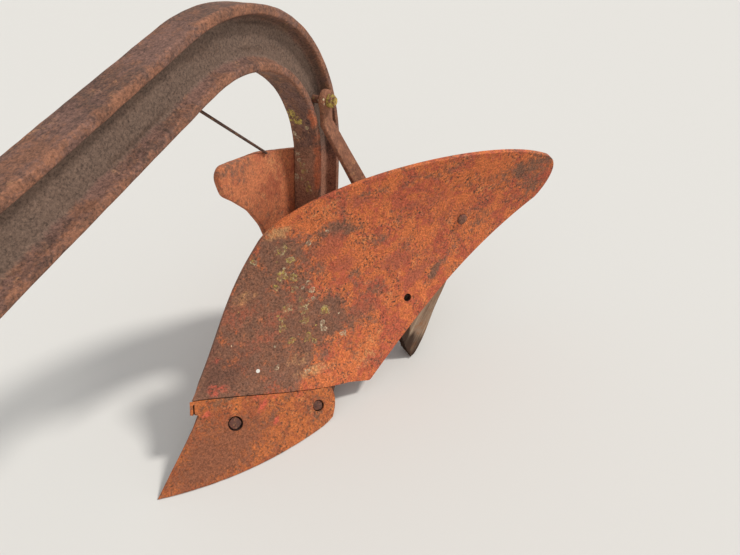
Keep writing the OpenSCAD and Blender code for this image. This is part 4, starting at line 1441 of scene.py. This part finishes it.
def make_hook():
    """Forged hook: a drawn-out bar bent into a bowl, under a flat round eye."""
    rings = hook_rings()
    piece = start_ring("draught_hook", rings[0])
    edit(piece, "EDGE")
    # The fresh points come in the ring's own order
    for ring in rings[1:]:
        bpy.ops.mesh.extrude_edges_move()
        fresh = iter(ring)
        move_picked(piece, lambda co: next(fresh))
    close_up()
    eye = turned("eye", ((EYE_R, -4.2), (9, -5), (15, -5), (16.3, -3.8), (16.5, 0), (16.3, 3.8), (15, 5),
                         (9, 5), (EYE_R, 4.2)), 56)
    carve(piece, eye, "UNION")
    carve(piece, turned("bore", ((0, -8), (EYE_R, -8), (EYE_R, 8), (0, 8)), 56))
    piece.data.transform(Matrix.Translation(at(PIN_SPOT.x, BEAM_Y, PIN_SPOT.y)) @ turn_by(90, "X"))
    roughen(piece, 0.0002, 9, 2)
    return piece


# Camera, floor and light
LENS = 26.51
EYE = Vector((253, 465, 721))
PITCH = 37.73
HEADING = 205.01
ROLL = 1.85
FLOOR_SIDE = 24


def photo_camera():
    """Camera at the photograph's place and angle."""
    clear()
    bpy.ops.object.camera_add(location=at(*EYE))
    camera = bpy.context.object
    camera.name = "photo_camera"
    level = Vector((math.cos(math.radians(HEADING)), math.sin(math.radians(HEADING)), 0))
    pitch, roll = math.radians(PITCH), math.radians(ROLL)
    ahead = level * math.cos(pitch) - Vector((0, 0, math.sin(pitch)))
    right = ahead.cross(Vector((0, 0, 1))).normalized()
    down = ahead.cross(right)
    rolled = math.cos(roll) * right + math.sin(roll) * down
    down = math.cos(roll) * down - math.sin(roll) * right
    camera.matrix_world = axes_at(EYE, rolled, -down, -ahead)
    camera.data.lens = LENS
    camera.data.sensor_width = 36
    camera.data.clip_start = 0.01
    camera.data.clip_end = 60
    bpy.context.scene.camera = camera


def add_sun(name, way, energy, angle, colour=(1, 1, 1)):
    """Adds a soft far light that shines from a direction."""
    clear()
    bpy.ops.object.light_add(type="SUN", location=(0, 0, 3))
    lamp = bpy.context.object
    lamp.name = name
    lamp.rotation_euler = Vector(way).to_track_quat("Z", "Y").to_euler()
    lamp.data.energy = energy
    lamp.data.angle = math.radians(angle)
    lamp.data.color = colour


def soft_sky(tree):
    """Even light on the plough, and a pale backdrop where the camera or a gloss sees it."""
    light = tree.nodes["Background"]
    light.inputs["Color"].default_value = (0.95, 0.97, 1.0, 1)
    light.inputs["Strength"].default_value = 0.62
    backdrop = put(tree, "ShaderNodeBackground", {"Color": (0.80, 0.79, 0.76, 1), "Strength": 1.0})
    path = put(tree, "ShaderNodeLightPath").outputs
    seen = calc(tree, "MAXIMUM", path["Is Camera Ray"], path["Is Glossy Ray"])
    seen = calc(tree, "MAXIMUM", seen, path["Is Transmission Ray"])
    both = put(tree, "ShaderNodeMixShader", {0: seen, 1: light.outputs[0], 2: backdrop.outputs[0]})
    tree.links.new(both.outputs[0], tree.nodes["World Output"].inputs["Surface"])


def floor_finish(finish):
    """Plain pale floor."""
    material, tree, shader = new_finish("Pale floor", 0.1)
    shader.inputs["Base Color"].default_value = (*finish.floor, 1)
    shader.inputs["Roughness"].default_value = 0.9
    return material


class PloughOperator:
    """Shared part of the plough's operators."""
    bl_options = {"REGISTER", "UNDO"}


class PLOUGH_OT_stage(PloughOperator, bpy.types.Operator):
    """Adds the floor, the soft light and the camera"""
    bl_idname = "plough.stage"
    bl_label = "Stage"

    def execute(self, context):
        clear()
        bpy.ops.mesh.primitive_plane_add(size=FLOOR_SIDE, location=(0, 0, 0))
        floor = made("floor")
        floor.data.materials.append(floor_finish(context.scene.plough_finish))
        add_sun("soft_key", (-0.42, 0.55, 0.78), 2.35, 9, (1.0, 0.985, 0.96))
        add_sun("soft_fill", (0.75, 0.45, 0.3), 0.4, 50)
        world = bpy.data.worlds.new("Studio")
        world.use_nodes = True
        soft_sky(world.node_tree)
        context.scene.world = world
        context.scene.view_settings.view_transform = "Standard"
        photo_camera()
        return {"FINISHED"}


class PLOUGH_OT_beam(PloughOperator, bpy.types.Operator):
    """Builds the gooseneck beam"""
    bl_idname = "plough.beam"
    bl_label = "Beam"

    def execute(self, context):
        piece = make_beam(context.scene.plough_sizes)
        rust = dress_beam(piece, context.scene.plough_finish)
        finish_piece(piece, "gooseneck_beam", "beam", rust, "beam_steel")
        return {"FINISHED"}


class PLOUGH_OT_moldboard(PloughOperator, bpy.types.Operator):
    """Builds the twisted moldboard"""
    bl_idname = "plough.moldboard"
    bl_label = "Moldboard"

    def execute(self, context):
        piece = make_moldboard()
        rust = dress_moldboard(piece, context.scene.plough_finish)
        finish_piece(piece, "twisted_moldboard", "moldboard", rust, "moldboard_steel")
        return {"FINISHED"}


class PLOUGH_OT_share(PloughOperator, bpy.types.Operator):
    """Builds the worn share"""
    bl_idname = "plough.share"
    bl_label = "Share"

    def execute(self, context):
        piece = make_share(context.scene.plough_sizes)
        rust = dress_share(piece, context.scene.plough_finish)
        finish_piece(piece, "worn_share", "share", rust, "share_steel")
        return {"FINISHED"}


class PLOUGH_OT_side_plate(PloughOperator, bpy.types.Operator):
    """Builds the side plate and its horn"""
    bl_idname = "plough.side_plate"
    bl_label = "Side plate"

    def execute(self, context):
        brown = context.scene.plough_finish.brown
        piece = make_side_plate(context.scene.plough_sizes)
        paint(piece, plate_marks)
        rust = rust_finish("Side plate rust", tone(191, 113, 74), tone(168, 92, 63), brown, patch=26,
                           share=0.36, patina="dull", specks=0.5, contrast=0.85)
        finish_piece(piece, "horned_side_plate", "side_plate", rust, "plate_steel")
        return {"FINISHED"}


class PLOUGH_OT_underside(PloughOperator, bpy.types.Operator):
    """Builds the landside bar, its heel and the frog"""
    bl_idname = "plough.underside"
    bl_label = "Landside, heel and frog"

    def execute(self, context):
        finish = context.scene.plough_finish
        width = context.scene.plough_sizes.plate_round
        rows = (("landside", "Landside rust", "landside_steel", width, tone(138, 86, 62)),
                ("heel", "Landside rust", "landside_steel", width, tone(138, 86, 62)),
                ("frog", "Frog crust", "frog_iron", 0.0016, tone(112, 76, 60)))
        for node, label, slot, rounding, bright in rows:
            rust = rust_finish(label, bright, finish.brown, finish.dark, patch=20, share=0.52, specks=0.7)
            add_worn(node, rust, slot, rounding)
        return {"FINISHED"}


class PLOUGH_OT_brace(PloughOperator, bpy.types.Operator):
    """Builds the twisted flat brace"""
    bl_idname = "plough.brace"
    bl_label = "Brace"

    def execute(self, context):
        brown = context.scene.plough_finish.brown
        piece = make_brace()
        paint(piece, lambda point: {"moss": 0.12 * smooth((point.z - BRACE_PT.y + 8) / 10)})
        rust = rust_finish("Brace rust", tone(146, 97, 72), tone(122, 80, 60), brown, patch=34)
        finish_piece(piece, "flat_brace", "brace", rust, "brace_steel")
        return {"FINISHED"}


class PLOUGH_OT_handle_stub(PloughOperator, bpy.types.Operator):
    """Builds the rotten foot of the wooden handle"""
    bl_idname = "plough.handle_stub"
    bl_label = "Handle foot"

    def execute(self, context):
        piece = make_handle_stub(context.scene.plough_sizes)
        dress_stub(piece)
        wood = wood_finish(context.scene.plough_finish)
        finish_piece(piece, "rotten_handle_foot", "handle_stub", wood, "stub_wood")
        return {"FINISHED"}


class PLOUGH_OT_bolts(PloughOperator, bpy.types.Operator):
    """Builds the bolts, nuts and packing"""
    bl_idname = "plough.bolts"
    bl_label = "Bolts and packing"

    def execute(self, context):
        sizes, finish = context.scene.plough_sizes, context.scene.plough_finish
        rust = rust_finish("Bolt rust", tone(120, 76, 62), finish.brown, finish.dark, patch=60, contrast=0.85,
                           level=0.0005)
        sunk = rust_finish("Sunk bolt rust", tone(112, 68, 54), tone(92, 60, 50), finish.dark, patch=60,
                           specks=0.7, level=0.0005)
        for node, place, half, turn in (("share_bolt_front", SHARE_BOLT_A, 8.3, 28),
                                        ("share_bolt_wing", SHARE_BOLT_B, 7.5, -12)):
            piece = make_share_bolt(node, place, half, turn, sizes)
            finish_piece(piece, "worn_" + node, node, sunk, "bolt_steel")
        finish_piece(make_moldboard_bolt(sizes), "worn_moldboard_bolt", "moldboard_bolt", rust, "bolt_steel")
        piece = make_brace_bolt(sizes)
        paint(piece, lambda point: {"moss": 0.95 * smooth((point.y - THROW_FACE) / 12)})
        finish_piece(piece, "worn_brace_bolt", "brace_bolt", rust, "bolt_steel")
        for node in ("beam_packing", "beam_bolts", "frog_bolts", "landside_bolts", "hake_bolts"):
            add_worn(node, rust, "bolt_steel", 0.0009, 3)
        return {"FINISHED"}


class PLOUGH_OT_stays(PloughOperator, bpy.types.Operator):
    """Builds the moldboard's stay and the thin stay rod"""
    bl_idname = "plough.stays"
    bl_label = "Stays"

    def execute(self, context):
        dark = context.scene.plough_finish.dark
        # Dark brown rust, painted darker still as the shade the thin rods lie in
        rust = rust_finish("Rod rust and shade", tone(76, 57, 49), tone(92, 66, 54), dark, patch=40, share=0.55)
        for node, width in (("moldboard_stay", 0.0016), ("stay_rod", 0.0004)):
            add_worn(node, rust, "rod_steel", width)
        return {"FINISHED"}


class PLOUGH_OT_hitch(PloughOperator, bpy.types.Operator):
    """Builds the hake, its pin and the draught hook"""
    bl_idname = "plough.hitch"
    bl_label = "Hitch"

    def execute(self, context):
        finish = context.scene.plough_finish
        rust = rust_finish("Hake rust", tone(140, 90, 68), finish.brown, finish.dark, patch=26)
        for node, slot in (("hake_cheek_left", "hake_steel"), ("hake_cheek_right", "hake_steel"),
                           ("draught_pin", "bolt_steel")):
            add_worn(node, rust, slot, 0.0014, 3)
        iron = rust_finish("Hook iron", tone(104, 76, 62), finish.brown, finish.dark, patch=34, share=0.55,
                           specks=0.5, rough=0.7)
        finish_piece(make_hook(), "forged_draught_hook", "draught_hook", iron, "hook_iron", body="hook")
        return {"FINISHED"}


class PLOUGH_PT_panel(bpy.types.Panel):
    """Lists the plough's pieces, sizes and colours"""
    bl_label = "Walking plough"
    bl_idname = "PLOUGH_PT_panel"
    bl_space_type = "VIEW_3D"
    bl_region_type = "UI"
    bl_category = "Plough"

    def draw(self, context):
        for name in ORDER:
            self.layout.operator("plough." + name)
        for group_name in ("plough_sizes", "plough_finish"):
            settings = getattr(context.scene, group_name)
            for key in settings.__annotations__:
                self.layout.prop(settings, key)


ORDER = ("stage", "beam", "moldboard", "share", "side_plate", "underside", "brace", "handle_stub", "bolts",
         "stays", "hitch")
CLASSES = (PloughSizes, PloughFinish, PLOUGH_OT_stage, PLOUGH_OT_beam, PLOUGH_OT_moldboard, PLOUGH_OT_share,
           PLOUGH_OT_side_plate, PLOUGH_OT_underside, PLOUGH_OT_brace, PLOUGH_OT_handle_stub, PLOUGH_OT_bolts,
           PLOUGH_OT_stays, PLOUGH_OT_hitch, PLOUGH_PT_panel)


def register():
    """Adds the classes and the two groups of settings."""
    for item in CLASSES:
        bpy.utils.register_class(item)
    bpy.types.Scene.plough_sizes = PointerProperty(type=PloughSizes)
    bpy.types.Scene.plough_finish = PointerProperty(type=PloughFinish)


def unregister():
    """Takes the settings and the classes out again."""
    del bpy.types.Scene.plough_finish
    del bpy.types.Scene.plough_sizes
    for item in reversed(CLASSES):
        bpy.utils.unregister_class(item)


def main():
    """Builds the stage and every piece."""
    register()
    for name in ORDER:
        getattr(bpy.ops.plough, name)()


if __name__ == "__main__":
    main()
